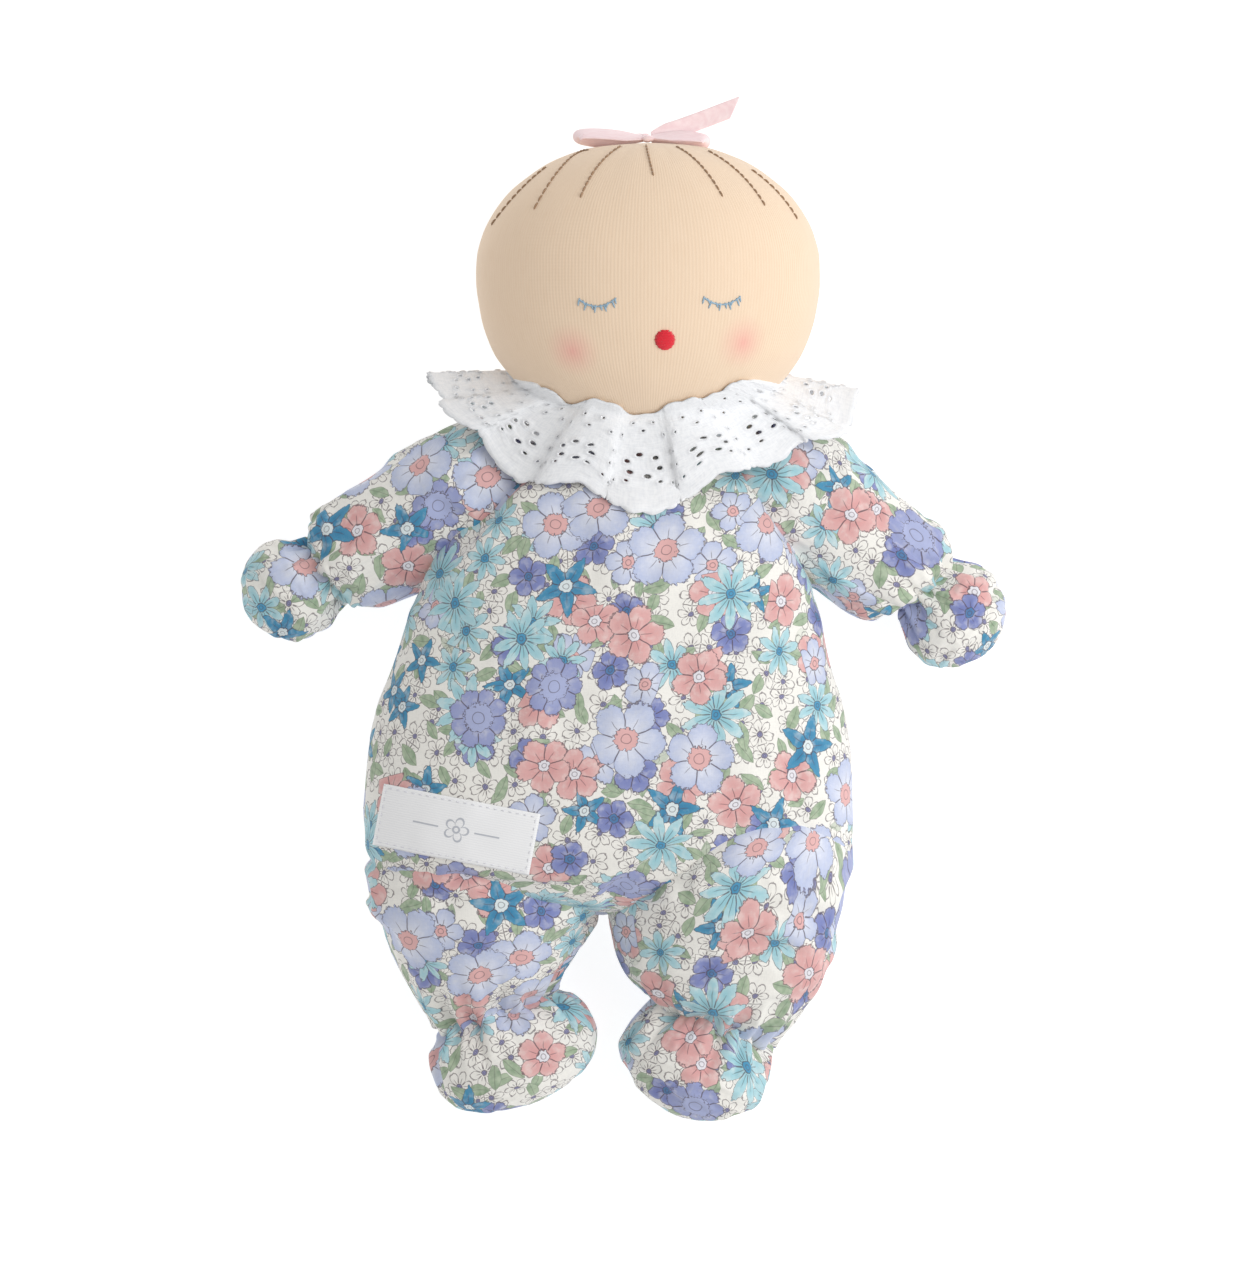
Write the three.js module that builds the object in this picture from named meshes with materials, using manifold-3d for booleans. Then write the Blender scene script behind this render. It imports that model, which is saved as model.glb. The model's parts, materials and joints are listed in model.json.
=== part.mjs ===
// Soft cloth baby doll lying on its back: floral romper with gathered wrists and ankles, knit head,
// eyelet collar, ribbon bow and a rattle capsule in the tummy.
// Millimetres. +Z points out of the face, +Y towards the crown, the doll's own left is +X.
// The origin is the centre of the flat patch that the back rests on.
import * as THREE from 'three';
import { mergeVertices } from 'three/addons/utils/BufferGeometryUtils.js';
import Module from 'manifold-3d';

const wasm = await Module();
wasm.setup();

// ---------------------------------------------------------------- cloth and gaps
const CLOTH = 1.2; // cover thickness, with its seam allowance
const GAP = 0.3; // clearance between neighbouring pieces
const FILL_INSET = CLOTH + GAP; // the fill starts this far inside the outer surface
const SEAM_GAP = 0.3; // opening left along a panel seam
const RELIEF = 2.8; // extra room around a limb in its recess
const BALL_GAP = 1; // clearance between a ball of fill and its socket

// ---------------------------------------------------------------- torso
const TORSO_AXIS_Z = 35;
const TORSO_HALF_DEPTH = 36;
const TORSO_LEAN = THREE.MathUtils.degToRad(-4); // the trunk leans to the doll's left
const TORSO_PROFILE = [
  [0, -34], [34, -31], [60, -22], [70.5, -10], [73, 2], [70.5, 22], [66, 38], [60, 55],
  [53, 70], [44, 84], [33, 95], [20, 102], [0, 104.5],
];

// ---------------------------------------------------------------- head and neck
const HEAD_CENTRE = new THREE.Vector3(12, 151.5, 40.5);
const HEAD_HALF_DEPTH = 40;
const HEAD_PROFILE = [
  [0, -44.5], [14, -43.6], [26, -39.5], [38, -30], [46.5, -19.5], [51, -7], [51, 8], [46.5, 20.5],
  [37, 31], [24, 38.6], [11, 42.2], [0, 42.9],
];
const NECK_PIVOT = new THREE.Vector3(10, 108, 36);
const NECK_BALL = 13;

// ---------------------------------------------------------------- limbs
const SHOULDER_Z = 28;
const SHOULDER_BALL = 11;
const HIP_Z = 28;
const HIP_BALL = 14;
const WRIST_Z = 16;
const ANKLE_Z = 17;
const ARM_LENGTH = 48;
const LEG_LENGTH = 42;
const ARM_PROFILE = [
  [0, -9], [9, -8.4], [14, -5], [17, 2], [19.2, 14], [19.2, 26], [15.5, 35], [10.6, 40.3],
  [8.4, 43.4], [5.4, 46.2], [0, 47.7],
];
const HAND_PROFILE = [
  [0, 0.3], [5.4, 1.8], [8.4, 4.6], [12.6, 8], [14.8, 13.5], [13.6, 20], [8.6, 25.2], [0, 27.6],
];
const HAND_HALF_DEPTH = 14.4;
const LEG_PROFILE = [
  [0, -9], [17, -8.6], [26, -5], [32, 3], [33.4, 12], [30, 21], [23.5, 28.5], [16.5, 34],
  [12.4, 37.3], [7.5, 40.2], [0, 41.5],
];
const LEG_HALF_DEPTH = 24;
const FOOT_PROFILE = [
  [0, 0.9], [7.5, 1.8], [12.4, 5], [18.5, 9], [22, 15], [20, 22], [12.5, 27.2], [0, 29.5],
];
const FOOT_HALF_DEPTH = 16.5;
const WRIST_THREAD = { along: -4.4, radius: 9.6, tube: 0.6 };
const ANKLE_THREAD = { along: -4.6, radius: 15, tube: 0.7 };

// Each side's plan places, and how far its limbs swing.
const LIMBS = {
  right: {
    shoulder: new THREE.Vector3(-42, 90, SHOULDER_Z), wrist: new THREE.Vector3(-84.6, 66.9, WRIST_Z),
    hand: new THREE.Vector3(-108.2, 52.2, 14.8), handWidth: 1,
    hip: new THREE.Vector3(-36, -28, HIP_Z), ankle: new THREE.Vector3(-33.5, -66, ANKLE_Z),
    foot: new THREE.Vector3(-22, -93.5, 16.6), footWidth: 1.03, outward: -1,
  },
  left: {
    shoulder: new THREE.Vector3(56, 90, SHOULDER_Z), wrist: new THREE.Vector3(94, 60.6, WRIST_Z),
    hand: new THREE.Vector3(115, 43.5, 15), handWidth: 1.1,
    hip: new THREE.Vector3(36.5, -28, HIP_Z), ankle: new THREE.Vector3(31.5, -69.5, ANKLE_Z),
    foot: new THREE.Vector3(20.5, -96.2, 16.2), footWidth: 0.94, outward: 1,
  },
};
const ARM_FORWARD_STEPS = [0, 22.5, 45]; // degrees, towards the chest
const LEG_SWEEP = [[0, 0], [30, 0], [60, 0], [0, 15], [60, 15]]; // degrees of fold, of spread

// ---------------------------------------------------------------- collar
const COLLAR = {
  centre: new THREE.Vector3(10.5, 106.5, 36), inner: [27, 19], outer: [64, 29.5], back: 34,
  frontDrop: -22, sideRise: 11, waves: 11, waveHeight: 1.6, half: 0.45,
};
const NECKBAND = { radius: [24.5, 26.2], y: 103, height: 2.6, flatten: 0.72 };

// ---------------------------------------------------------------- face, hair and bow
const EYES = { right: new THREE.Vector2(-3, 146.1), left: new THREE.Vector2(33.6, 146.7) };
const EYE = { halfWidth: 5.4, sag: 1.5, tube: 0.4, lashes: [-4.2, -2.1, 0, 2.1, 4.2], lashLength: 2.2 };
const MOUTH = { centre: new THREE.Vector2(16.8, 134.7), radius: 2.85, height: 0.9 };
const THREAD_LIFT = 0.75; // thread centre above the knit
const HAIR_TUBE = 0.35;
// [height, bearing] of each strand's root and tip: height above the head centre in mm, bearing in
// degrees round the crown from straight ahead, positive to the doll's left.
const HAIR = [
  [[36, -84], [18.5, -80]], [[40.6, -72], [22.5, -48]], [[41.4, -46], [25.6, -28.5]],
  [[41.6, 0], [32.4, 2.5]], [[41.2, 42], [25.8, 31]], [[40, 66], [23.4, 51]], [[34.8, 84], [19.2, 73]],
];
const BOW = { knot: new THREE.Vector3(12, 196.6, 38), ribbonWidth: 5.4, ribbon: 0.5 };

// ---------------------------------------------------------------- tag and rattle
const TAG = [[-68, 1.6], [-21.3, -7.2], [-23, -24.8], [-69.7, -16]];
const RATTLE = { centre: new THREE.Vector3(2, 20, 36), radius: 17, half: 10, wall: 1.4 };
const BEAD = { radius: 2.6, tracks: [-7, 0, 7] };

// ---------------------------------------------------------------- materials
const finish = (color, roughness, metalness = 0) => {
  return new THREE.MeshStandardMaterial({ color, roughness, metalness });
};
const MATERIALS = {
  floral: finish(0xb3bedd, 0.85),
  knit: finish(0xf3d5b5, 0.9),
  lace: finish(0xf6f6f4, 0.85),
  ribbon: finish(0xf7d3d8, 0.45),
  hair: finish(0x8a6a4c, 0.7),
  eye: finish(0x8fb2c6, 0.6),
  mouth: finish(0xcf1f35, 0.6),
  fill: finish(0xf2f0ea, 1.0),
  plastic: finish(0xe9e7e0, 0.5),
  bead: finish(0x9db7c9, 0.3),
  tag: finish(0xf4f4f4, 0.7),
  thread: finish(0xe8e6ea, 0.6),
};

const group = new THREE.Group();

/** Adds a named mesh of one material to the doll. */
function add(name, geometry, material) {
  const mesh = new THREE.Mesh(geometry, MATERIALS[material]);
  mesh.name = name;
  group.add(mesh);
  return mesh;
}

// ---------------------------------------------------------------- solids
/** A closed geometry as a boolean solid, its shared vertices merged and collapsed faces dropped. */
function solidOf(geometry, matrix = new THREE.Matrix4()) {
  const plain = geometry.clone().applyMatrix4(matrix);
  plain.deleteAttribute('normal');
  plain.deleteAttribute('uv');
  const merged = mergeVertices(plain, 1e-3);
  const triangles = [];
  for (let i = 0; i < merged.index.count; i += 3) {
    const [a, b, c] = [0, 1, 2].map((k) => merged.index.getX(i + k));
    if (a !== b && b !== c && a !== c) triangles.push(a, b, c);
  }
  const mesh = new wasm.Mesh({
    numProp: 3,
    vertProperties: new Float32Array(merged.attributes.position.array),
    triVerts: new Uint32Array(triangles),
  });
  mesh.merge();
  return new wasm.Manifold(mesh);
}

/** The largest separate body of a solid, which drops slivers that a recess has cut loose. */
function largestBody(solid) {
  const bodies = solid.decompose();
  return bodies.reduce((best, body) => (body.volume() > best.volume() ? body : best));
}

/** A boolean solid as a geometry. */
function geometryOf(solid) {
  const mesh = largestBody(solid).getMesh();
  const geometry = new THREE.BufferGeometry();
  geometry.setAttribute('position', new THREE.BufferAttribute(mesh.vertProperties, 3));
  geometry.setIndex(new THREE.BufferAttribute(mesh.triVerts, 1));
  return geometry;
}

const joined = (solids) => solids.reduce((sum, solid) => sum.add(solid));

/** A ball as a boolean solid. */
function ball(centre, radius, segments = 12) {
  const sphere = new THREE.SphereGeometry(radius, segments, Math.round(segments * 0.6));
  return solidOf(sphere, new THREE.Matrix4().setPosition(centre));
}

/** A box as a boolean solid, from its lowest to its highest corner. */
function block(low, high) {
  const size = high.clone().sub(low);
  const centre = low.clone().add(high).multiplyScalar(0.5);
  return solidOf(new THREE.BoxGeometry(size.x, size.y, size.z), new THREE.Matrix4().setPosition(centre));
}

/** Everything on one side of a level plane: above it, or below it. */
function slab(z, above) {
  const reach = 400;
  const low = new THREE.Vector3(-reach, -reach, above ? z : z - reach);
  return block(low, new THREE.Vector3(reach, reach, above ? z + reach : z));
}

/** A smooth profile through [radius, height] points, moved inwards by an inset. */
function profilePoints(points, inset, count) {
  const curve = new THREE.SplineCurve(points.map(([r, y]) => new THREE.Vector2(r, y)));
  return Array.from({ length: count + 1 }, (_, i) => {
    const at = curve.getPoint(i / count);
    const along = curve.getTangent(i / count);
    const onAxis = i === 0 || i === count;
    const radius = onAxis ? 0 : Math.max(at.x - along.y * inset, 0.02);
    return new THREE.Vector2(radius, onAxis ? at.y + (i === 0 ? inset : -inset) : at.y + along.x * inset);
  });
}

/** A stuffed form turned from a profile, flattened to its half depth. */
function turned({ profile, halfDepth }, inset, segments, rings) {
  const widest = Math.max(...profile.map(([r]) => r));
  const depth = (halfDepth ?? widest) - inset;
  const geometry = new THREE.LatheGeometry(profilePoints(profile, inset, rings), segments);
  return geometry.scale(1, 1, depth / (widest - inset));
}

/** The placing of a limb whose profile runs from one joint towards the next, broad side level. */
function limbMatrix(from, to) {
  const along = to.clone().sub(from).normalize();
  const across = new THREE.Vector3().crossVectors(along, new THREE.Vector3(0, 0, 1)).normalize();
  const up = new THREE.Vector3().crossVectors(across, along);
  return new THREE.Matrix4().makeBasis(across, along, up).setPosition(from);
}

/** A turn about an axis through a point. */
function turnAbout(point, axis, degrees) {
  const turn = new THREE.Matrix4().makeRotationAxis(axis, THREE.MathUtils.degToRad(degrees));
  const there = new THREE.Matrix4().setPosition(point);
  const back = new THREE.Matrix4().setPosition(point.clone().negate());
  return there.multiply(turn).multiply(back);
}

/** A profile with its radii and heights scaled. */
const scaled = (profile, wide, long = 1) => profile.map(([r, y]) => [r * wide, y * long]);

// ---------------------------------------------------------------- limb forms
/** The forms and placings of one side's arm, hand, leg and foot. */
function limbForms(side) {
  const place = LIMBS[side];
  const armLong = place.wrist.distanceTo(place.shoulder) / ARM_LENGTH;
  const legLong = place.ankle.distanceTo(place.hip) / LEG_LENGTH;
  return {
    arm: {
      profile: scaled(ARM_PROFILE, 1, armLong),
      matrix: limbMatrix(place.shoulder, place.wrist),
    },
    hand: {
      profile: scaled(HAND_PROFILE, place.handWidth), halfDepth: HAND_HALF_DEPTH,
      matrix: limbMatrix(place.wrist, place.hand),
    },
    leg: {
      profile: scaled(LEG_PROFILE, 1, legLong), halfDepth: LEG_HALF_DEPTH,
      matrix: limbMatrix(place.hip, place.ankle),
    },
    foot: {
      profile: scaled(FOOT_PROFILE, place.footWidth), halfDepth: FOOT_HALF_DEPTH,
      matrix: limbMatrix(place.ankle, place.foot),
    },
  };
}

/** The room that one side's arm and leg need in the trunk as they swing, grown by an inset. */
function limbRoom(side, inset) {
  const place = LIMBS[side];
  const forms = limbForms(side);
  const grow = -(inset + RELIEF);
  const armShape = turned(forms.arm, grow, 8, 7);
  const legShape = turned(forms.leg, grow, 10, 8);
  const forward = new THREE.Vector3(0, -place.outward, 0);
  const fold = new THREE.Vector3(-1, 0, 0);
  const spread = new THREE.Vector3(0, 0, place.outward);
  const arms = ARM_FORWARD_STEPS.map((angle) => {
    return solidOf(armShape, turnAbout(place.shoulder, forward, angle).multiply(forms.arm.matrix));
  });
  const legs = LEG_SWEEP.map(([up, out]) => {
    const turn = turnAbout(place.hip, fold, up).multiply(turnAbout(place.hip, spread, out));
    return solidOf(legShape, turn.multiply(forms.leg.matrix));
  });
  const sockets = [
    ball(place.shoulder, SHOULDER_BALL + BALL_GAP + inset), ball(place.hip, HIP_BALL + BALL_GAP + inset),
  ];
  return joined([...arms, ...legs, ...sockets]);
}

// ---------------------------------------------------------------- trunk
/** The trunk at an inset from its outer surface: flat at the back, with room for neck and limbs. */
function trunk(inset) {
  const form = { profile: TORSO_PROFILE, halfDepth: TORSO_HALF_DEPTH };
  const matrix = new THREE.Matrix4().makeRotationZ(TORSO_LEAN).setPosition(0, 0, TORSO_AXIS_Z);
  const body = solidOf(turned(form, inset, 24, 12), matrix);
  const below = slab(Math.max(inset, 0), false);
  const neck = ball(NECK_PIVOT, NECK_BALL + BALL_GAP + inset);
  return body.subtract(joined([below, neck, limbRoom('right', inset), limbRoom('left', inset)]));
}

/** Splits a solid at the side seam level into its front and back parts. */
function atSeam(solid, z) {
  const front = solid.intersect(slab(z + SEAM_GAP / 2, true));
  const back = solid.intersect(slab(z - SEAM_GAP / 2, false));
  return { front, back };
}

/** The trunk's panels, fill, rattle and tag. */
function addTrunk() {
  const outer = trunk(0);
  const panels = atSeam(outer.subtract(trunk(CLOTH)), TORSO_AXIS_Z);
  add('torso_front_panel', geometryOf(panels.front), 'floral');
  add('torso_back_panel', geometryOf(panels.back), 'floral');
  const nest = rattleForm(-GAP);
  const fill = atSeam(trunk(FILL_INSET).subtract(nest), TORSO_AXIS_Z + 1);
  add('torso_fill_front', geometryOf(fill.front), 'fill');
  add('torso_fill_back', geometryOf(fill.back), 'fill');
}

/** The rattle capsule's outer form at an inset. */
function rattleForm(inset) {
  const { radius, half, centre } = RATTLE;
  const face = radius * 0.7;
  const rim = half * 0.45;
  const profile = [[0, -half], [face, -half], [radius, -rim], [radius, rim], [face, half], [0, half]];
  const upright = new THREE.Matrix4().makeRotationX(Math.PI / 2).setPosition(centre);
  const points = profile.map(([r, y]) => {
    const y2 = y - Math.sign(y) * inset;
    return new THREE.Vector2(r === 0 ? 0 : r - inset, y2);
  });
  return solidOf(new THREE.LatheGeometry(points, 18), upright);
}

/** The rattle capsule: two half shells and the beads that run in it. */
function addRattle() {
  const { centre, wall } = RATTLE;
  const shell = atSeam(rattleForm(0).subtract(rattleForm(wall)), centre.z);
  add('rattle_shell_front', geometryOf(shell.front), 'plastic');
  add('rattle_shell_back', geometryOf(shell.back), 'plastic');
  BEAD.tracks.forEach((track, i) => {
    const bead = add(`rattle_bead_${i + 1}`, new THREE.SphereGeometry(BEAD.radius, 8, 6), 'bead');
    bead.position.set(centre.x, centre.y + track, centre.z);
  });
}

/** The stitched tag: a thin plate that follows the trunk's left-hand flank as seen from the front. */
function addTag() {
  const outline = new THREE.Shape(TAG.map(([x, y]) => new THREE.Vector2(x, y)));
  const prism = new THREE.ExtrudeGeometry(outline, { depth: 60, bevelEnabled: false });
  const column = solidOf(prism, new THREE.Matrix4().setPosition(0, 0, TORSO_AXIS_Z + 6));
  const form = { profile: TORSO_PROFILE, halfDepth: TORSO_HALF_DEPTH };
  const matrix = new THREE.Matrix4().makeRotationZ(TORSO_LEAN).setPosition(0, 0, TORSO_AXIS_Z);
  const skin = (lift) => solidOf(turned(form, -lift, 24, 12), matrix);
  add('side_tag', geometryOf(skin(1.0).subtract(skin(0.35)).intersect(column)), 'tag');
}

// ---------------------------------------------------------------- limbs
/** One form's cover and fill. The opening leaves the cover open; the recess hollows the fill's end. */
function addStuffed(name, form, opening, recess, segments, rings) {
  const at = (inset) => solidOf(turned(form, inset, segments, rings), form.matrix);
  add(`${name}_cover`, geometryOf(at(0).subtract(at(CLOTH)).subtract(opening)), 'floral');
  add(`${name}_fill`, geometryOf(recess ? at(FILL_INSET).subtract(recess) : at(FILL_INSET)), 'fill');
}

/** A ring of gathering thread round a limb, a little way back from its joint. */
function addGather(name, thread, form, end) {
  const ring = new THREE.TorusGeometry(thread.radius, thread.tube, 4, 16);
  ring.rotateX(Math.PI / 2);
  const flat = form.halfDepth ? form.halfDepth / Math.max(...form.profile.map(([r]) => r)) : 1;
  ring.scale(1, 1, form.halfDepth ? flat + 0.03 : 1);
  ring.translate(0, end + thread.along, 0);
  ring.applyMatrix4(form.matrix);
  add(name, ring, 'thread');
}

/** Both sides' limbs, with the pads of fill that they turn about. */
function addLimbs() {
  for (const side of ['left', 'right']) {
    const place = LIMBS[side];
    const forms = limbForms(side);
    const shoulder = ball(place.shoulder, SHOULDER_BALL + BALL_GAP);
    const hip = ball(place.hip, HIP_BALL + BALL_GAP);
    add(`${side}_shoulder_pad`, geometryOf(ball(place.shoulder, SHOULDER_BALL)), 'fill');
    add(`${side}_hip_pad`, geometryOf(ball(place.hip, HIP_BALL)), 'fill');
    addStuffed(`${side}_arm`, forms.arm, shoulder, shoulder, 12, 9);
    addStuffed(`${side}_hand`, forms.hand, ball(place.wrist, 3, 6), null, 10, 7);
    addStuffed(`${side}_leg`, forms.leg, hip, hip, 14, 9);
    addStuffed(`${side}_foot`, forms.foot, ball(place.ankle, 3.4, 6), null, 12, 7);
    addGather(`${side}_wrist_thread`, WRIST_THREAD, forms.arm, place.wrist.distanceTo(place.shoulder));
    addGather(`${side}_ankle_thread`, ANKLE_THREAD, forms.leg, place.ankle.distanceTo(place.hip));
  }
}

// ---------------------------------------------------------------- collar
/** A point of the ruffle: bearing round the neck, part of its width, and side of the cloth. */
function collarPoint(bearing, width, side) {
  const { centre, inner, outer, back, frontDrop, sideRise, waves, waveHeight } = COLLAR;
  const [sin, cos] = [Math.sin(bearing), Math.cos(bearing)];
  const depth = THREE.MathUtils.lerp(inner[1], cos > 0 ? outer[1] : back, width);
  const fall = sideRise * sin * sin + frontDrop * cos * cos;
  const wave = waveHeight * width * Math.cos(waves * bearing);
  return new THREE.Vector3(
    THREE.MathUtils.lerp(inner[0], outer[0], width) * sin + side * 0.3 * sin,
    fall * Math.max(width, 0) ** 1.3 + side * 0.7 + wave * 0.6,
    depth * cos + side * 0.7 * cos + (cos > 0 ? wave * cos : 0),
  ).add(centre);
}

/** The ruffle and the band that it is gathered to. */
function addCollar() {
  const widths = [0, 0.33, 0.67, 1];
  const { half } = COLLAR;
  const section = [...widths.map((w) => [w + 1, -half]), ...widths.toReversed().map((w) => [w + 1, half])];
  section.push(section[0]);
  const ruffle = new THREE.LatheGeometry(section.map(([r, y]) => new THREE.Vector2(r, y)), 44);
  const place = ruffle.attributes.position;
  const at = new THREE.Vector3();
  for (let i = 0; i < place.count; i++) {
    at.fromBufferAttribute(place, i);
    const moved = collarPoint(Math.atan2(at.x, at.z), Math.hypot(at.x, at.z) - 1, at.y);
    place.setXYZ(i, moved.x, moved.y, moved.z);
  }
  add('collar_ruffle', ruffle, 'lace');

  const { radius, height, flatten, y } = NECKBAND;
  const band = new THREE.LatheGeometry([
    new THREE.Vector2(radius[0], 0), new THREE.Vector2(radius[1], 0), new THREE.Vector2(radius[1], height),
    new THREE.Vector2(radius[0], height), new THREE.Vector2(radius[0], 0),
  ], 24);
  band.scale(1, 1, flatten);
  add('collar_neckband', band, 'lace').position.set(NECK_PIVOT.x, y, NECK_PIVOT.z);
}

// ---------------------------------------------------------------- head
/** The head at an inset from its outer surface, hollowed where it sits on the neck. */
function skull(inset) {
  const form = { profile: HEAD_PROFILE, halfDepth: HEAD_HALF_DEPTH };
  const body = solidOf(turned(form, inset, 20, 12), new THREE.Matrix4().setPosition(HEAD_CENTRE));
  return body.subtract(ball(NECK_PIVOT, NECK_BALL + BALL_GAP + inset));
}

const headCurve = new THREE.SplineCurve(HEAD_PROFILE.map(([r, y]) => new THREE.Vector2(r, y)));
const HEAD_SAMPLES = headCurve.getPoints(200);

/** The head's radius at a height above its centre. */
function headRadius(height) {
  const next = Math.max(HEAD_SAMPLES.findIndex((p) => p.y >= height), 1);
  const [a, b] = [HEAD_SAMPLES[next - 1], HEAD_SAMPLES[next]];
  return THREE.MathUtils.mapLinear(height, a.y, b.y, a.x, b.x);
}

/** A point on the head's surface, raised by a lift, from its height and its bearing. */
function headPoint(height, bearing, lift) {
  const radius = headRadius(height) + lift;
  const flat = HEAD_HALF_DEPTH / 51;
  const rise = lift * Math.max(height / 43, 0);
  return new THREE.Vector3(radius * Math.sin(bearing), height + rise, radius * Math.cos(bearing) * flat)
    .add(HEAD_CENTRE);
}

/** The front surface point above a plan position. */
function facePoint(x, y, lift) {
  const height = y - HEAD_CENTRE.y;
  const bearing = Math.asin((x - HEAD_CENTRE.x) / headRadius(height));
  return headPoint(height, bearing, lift);
}

/** A round thread along a list of points. */
function threadAlong(points, radius, steps) {
  const section = new THREE.Shape();
  section.absarc(0, 0, radius, 0, Math.PI * 2);
  const extrudePath = new THREE.CatmullRomCurve3(points);
  return new THREE.ExtrudeGeometry(section, { steps, extrudePath, curveSegments: 2 });
}

/** One closed eye: a lid line with its lashes below, joined into one piece of stitching. */
function eyeStitching(centre) {
  const { halfWidth, sag, tube, lashes, lashLength } = EYE;
  const lidY = (dx) => centre.y - sag * (1 - (dx / halfWidth) ** 2);
  const onFace = (dx, dy) => facePoint(centre.x + dx, lidY(dx) + dy, THREAD_LIFT);
  const lid = Array.from({ length: 5 }, (_, i) => onFace(halfWidth * (i / 2 - 1), 0));
  const threads = lashes.map((dx) => [onFace(dx, 0), onFace(dx * 1.18, -lashLength)]);
  return joined([lid, ...threads].map((points) => solidOf(threadAlong(points, tube, points.length - 1))));
}

/** The head's panels and fill, its face and its hair. */
function addHead() {
  const panels = atSeam(skull(0).subtract(skull(CLOTH)), HEAD_CENTRE.z);
  add('head_front_panel', geometryOf(panels.front), 'knit');
  add('head_back_panel', geometryOf(panels.back), 'knit');
  add('head_fill', geometryOf(skull(FILL_INSET)), 'fill');
  add('neck_fill', geometryOf(ball(NECK_PIVOT, NECK_BALL)), 'fill');
  add('left_eye_stitching', geometryOf(eyeStitching(EYES.left)), 'eye');
  add('right_eye_stitching', geometryOf(eyeStitching(EYES.right)), 'eye');

  const pad = new THREE.SphereGeometry(MOUTH.radius, 12, 6).scale(1, 1, MOUTH.height / MOUTH.radius);
  const mouth = add('mouth_stitching', pad, 'mouth');
  mouth.position.copy(facePoint(MOUTH.centre.x, MOUTH.centre.y, MOUTH.height + 1.2));

  HAIR.forEach(([root, tip], i) => {
    const points = Array.from({ length: 6 }, (_, k) => {
      const height = THREE.MathUtils.lerp(root[0], tip[0], k / 5);
      const bearing = THREE.MathUtils.degToRad(THREE.MathUtils.lerp(root[1], tip[1], Math.sqrt(k / 5)));
      return headPoint(height, bearing, THREAD_LIFT);
    });
    add(`hair_strand_${i + 1}`, threadAlong(points, HAIR_TUBE, 7), 'hair');
  });
}

// ---------------------------------------------------------------- bow
/** A strip of ribbon whose edge follows points from the knot; its width runs along Z. */
function ribbonStrip(points) {
  const line = new THREE.SplineCurve(points.map(([x, y]) => new THREE.Vector2(x, y)));
  const steps = points.length * 3;
  const edge = (offset) => Array.from({ length: steps + 1 }, (_, i) => {
    const along = line.getTangent(i / steps);
    return line.getPoint(i / steps).add(new THREE.Vector2(-along.y, along.x).multiplyScalar(offset));
  });
  const outline = new THREE.Shape([...edge(-BOW.ribbon / 2), ...edge(BOW.ribbon / 2).reverse()]);
  const strip = new THREE.ExtrudeGeometry(outline, { depth: BOW.ribbonWidth, bevelEnabled: false });
  return strip.translate(0, 0, -BOW.ribbonWidth / 2);
}

/** A loop of the bow, out from the knot and back, reaching a length to one side. */
function bowLoop(reach, rise) {
  const root = Math.sign(reach) * 2.5;
  return ribbonStrip([
    [root, 0.7], [reach * 0.5, rise], [reach * 0.9, rise * 0.9], [reach, rise * 0.4],
    [reach * 0.85, -0.3], [reach * 0.4, -0.9], [root, -0.7],
  ]);
}

/** The ribbon bow on the crown. */
function addBow() {
  const knot = new THREE.CylinderGeometry(1.9, 1.9, BOW.ribbonWidth * 0.9, 14).rotateX(Math.PI / 2);
  const pieces = {
    bow_knot: knot,
    bow_loop_left: bowLoop(19, 2.6),
    bow_loop_right: bowLoop(-21.5, 2.6),
    bow_tail_left: ribbonStrip([[2.5, 0], [13, 4.2], [26.3, 9]]).translate(0, 0.4, -6),
    bow_tail_right: ribbonStrip([[-2.5, 0], [-9, -0.6], [-15, -2.4]]).translate(0, 0.4, -6),
  };
  for (const [name, geometry] of Object.entries(pieces)) {
    add(name, geometry, 'ribbon').position.copy(BOW.knot);
  }
}

addTrunk();
addRattle();
addTag();
addLimbs();
addCollar();
addHead();
addBow();

export default group;
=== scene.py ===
"""Visual model of a soft cloth baby doll that lies on its back.

Lengths in the classes are millimetres; meshes are made in metres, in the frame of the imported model.
"""

import json
import logging
import math
from dataclasses import dataclass, field
from enum import Enum

import bpy
import numpy as np
from mathutils import Matrix, Vector, geometry, noise
from mathutils.bvhtree import BVHTree


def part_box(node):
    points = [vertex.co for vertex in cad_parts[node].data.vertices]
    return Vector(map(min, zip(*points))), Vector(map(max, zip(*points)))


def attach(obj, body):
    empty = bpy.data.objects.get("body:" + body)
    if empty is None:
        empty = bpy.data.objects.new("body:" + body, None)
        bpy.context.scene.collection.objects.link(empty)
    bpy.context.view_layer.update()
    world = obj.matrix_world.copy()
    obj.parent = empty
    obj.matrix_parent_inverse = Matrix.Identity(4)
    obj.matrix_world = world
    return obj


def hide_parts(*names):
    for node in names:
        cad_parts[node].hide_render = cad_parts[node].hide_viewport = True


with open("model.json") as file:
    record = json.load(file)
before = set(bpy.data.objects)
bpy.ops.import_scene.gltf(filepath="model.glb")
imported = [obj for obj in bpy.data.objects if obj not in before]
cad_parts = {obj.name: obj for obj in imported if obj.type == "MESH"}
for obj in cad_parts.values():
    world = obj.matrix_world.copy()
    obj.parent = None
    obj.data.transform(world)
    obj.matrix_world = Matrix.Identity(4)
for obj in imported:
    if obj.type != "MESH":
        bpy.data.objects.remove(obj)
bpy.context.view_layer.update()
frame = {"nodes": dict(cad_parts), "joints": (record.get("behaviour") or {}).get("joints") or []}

LOG = logging.getLogger("doll")
MM = 0.001
SIDES = ("left", "right")
UP = Vector((0, 0, 1))
UV_SCALE = 0.01  # one UV unit is 100 mm of cloth
Socket = bpy.types.NodeSocket


# --------------------------------------------------------------------------- frame places
def joint_at(name: str) -> Vector:
    """Gives a joint's place in the frame.

    Args:
        name: The joint's name in the record.

    Returns:
        Its point at rest, in millimetres.
    """
    found = next(j for j in frame["joints"] if j["name"] == name)
    return Vector(found["pos_m"]) / MM


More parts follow.
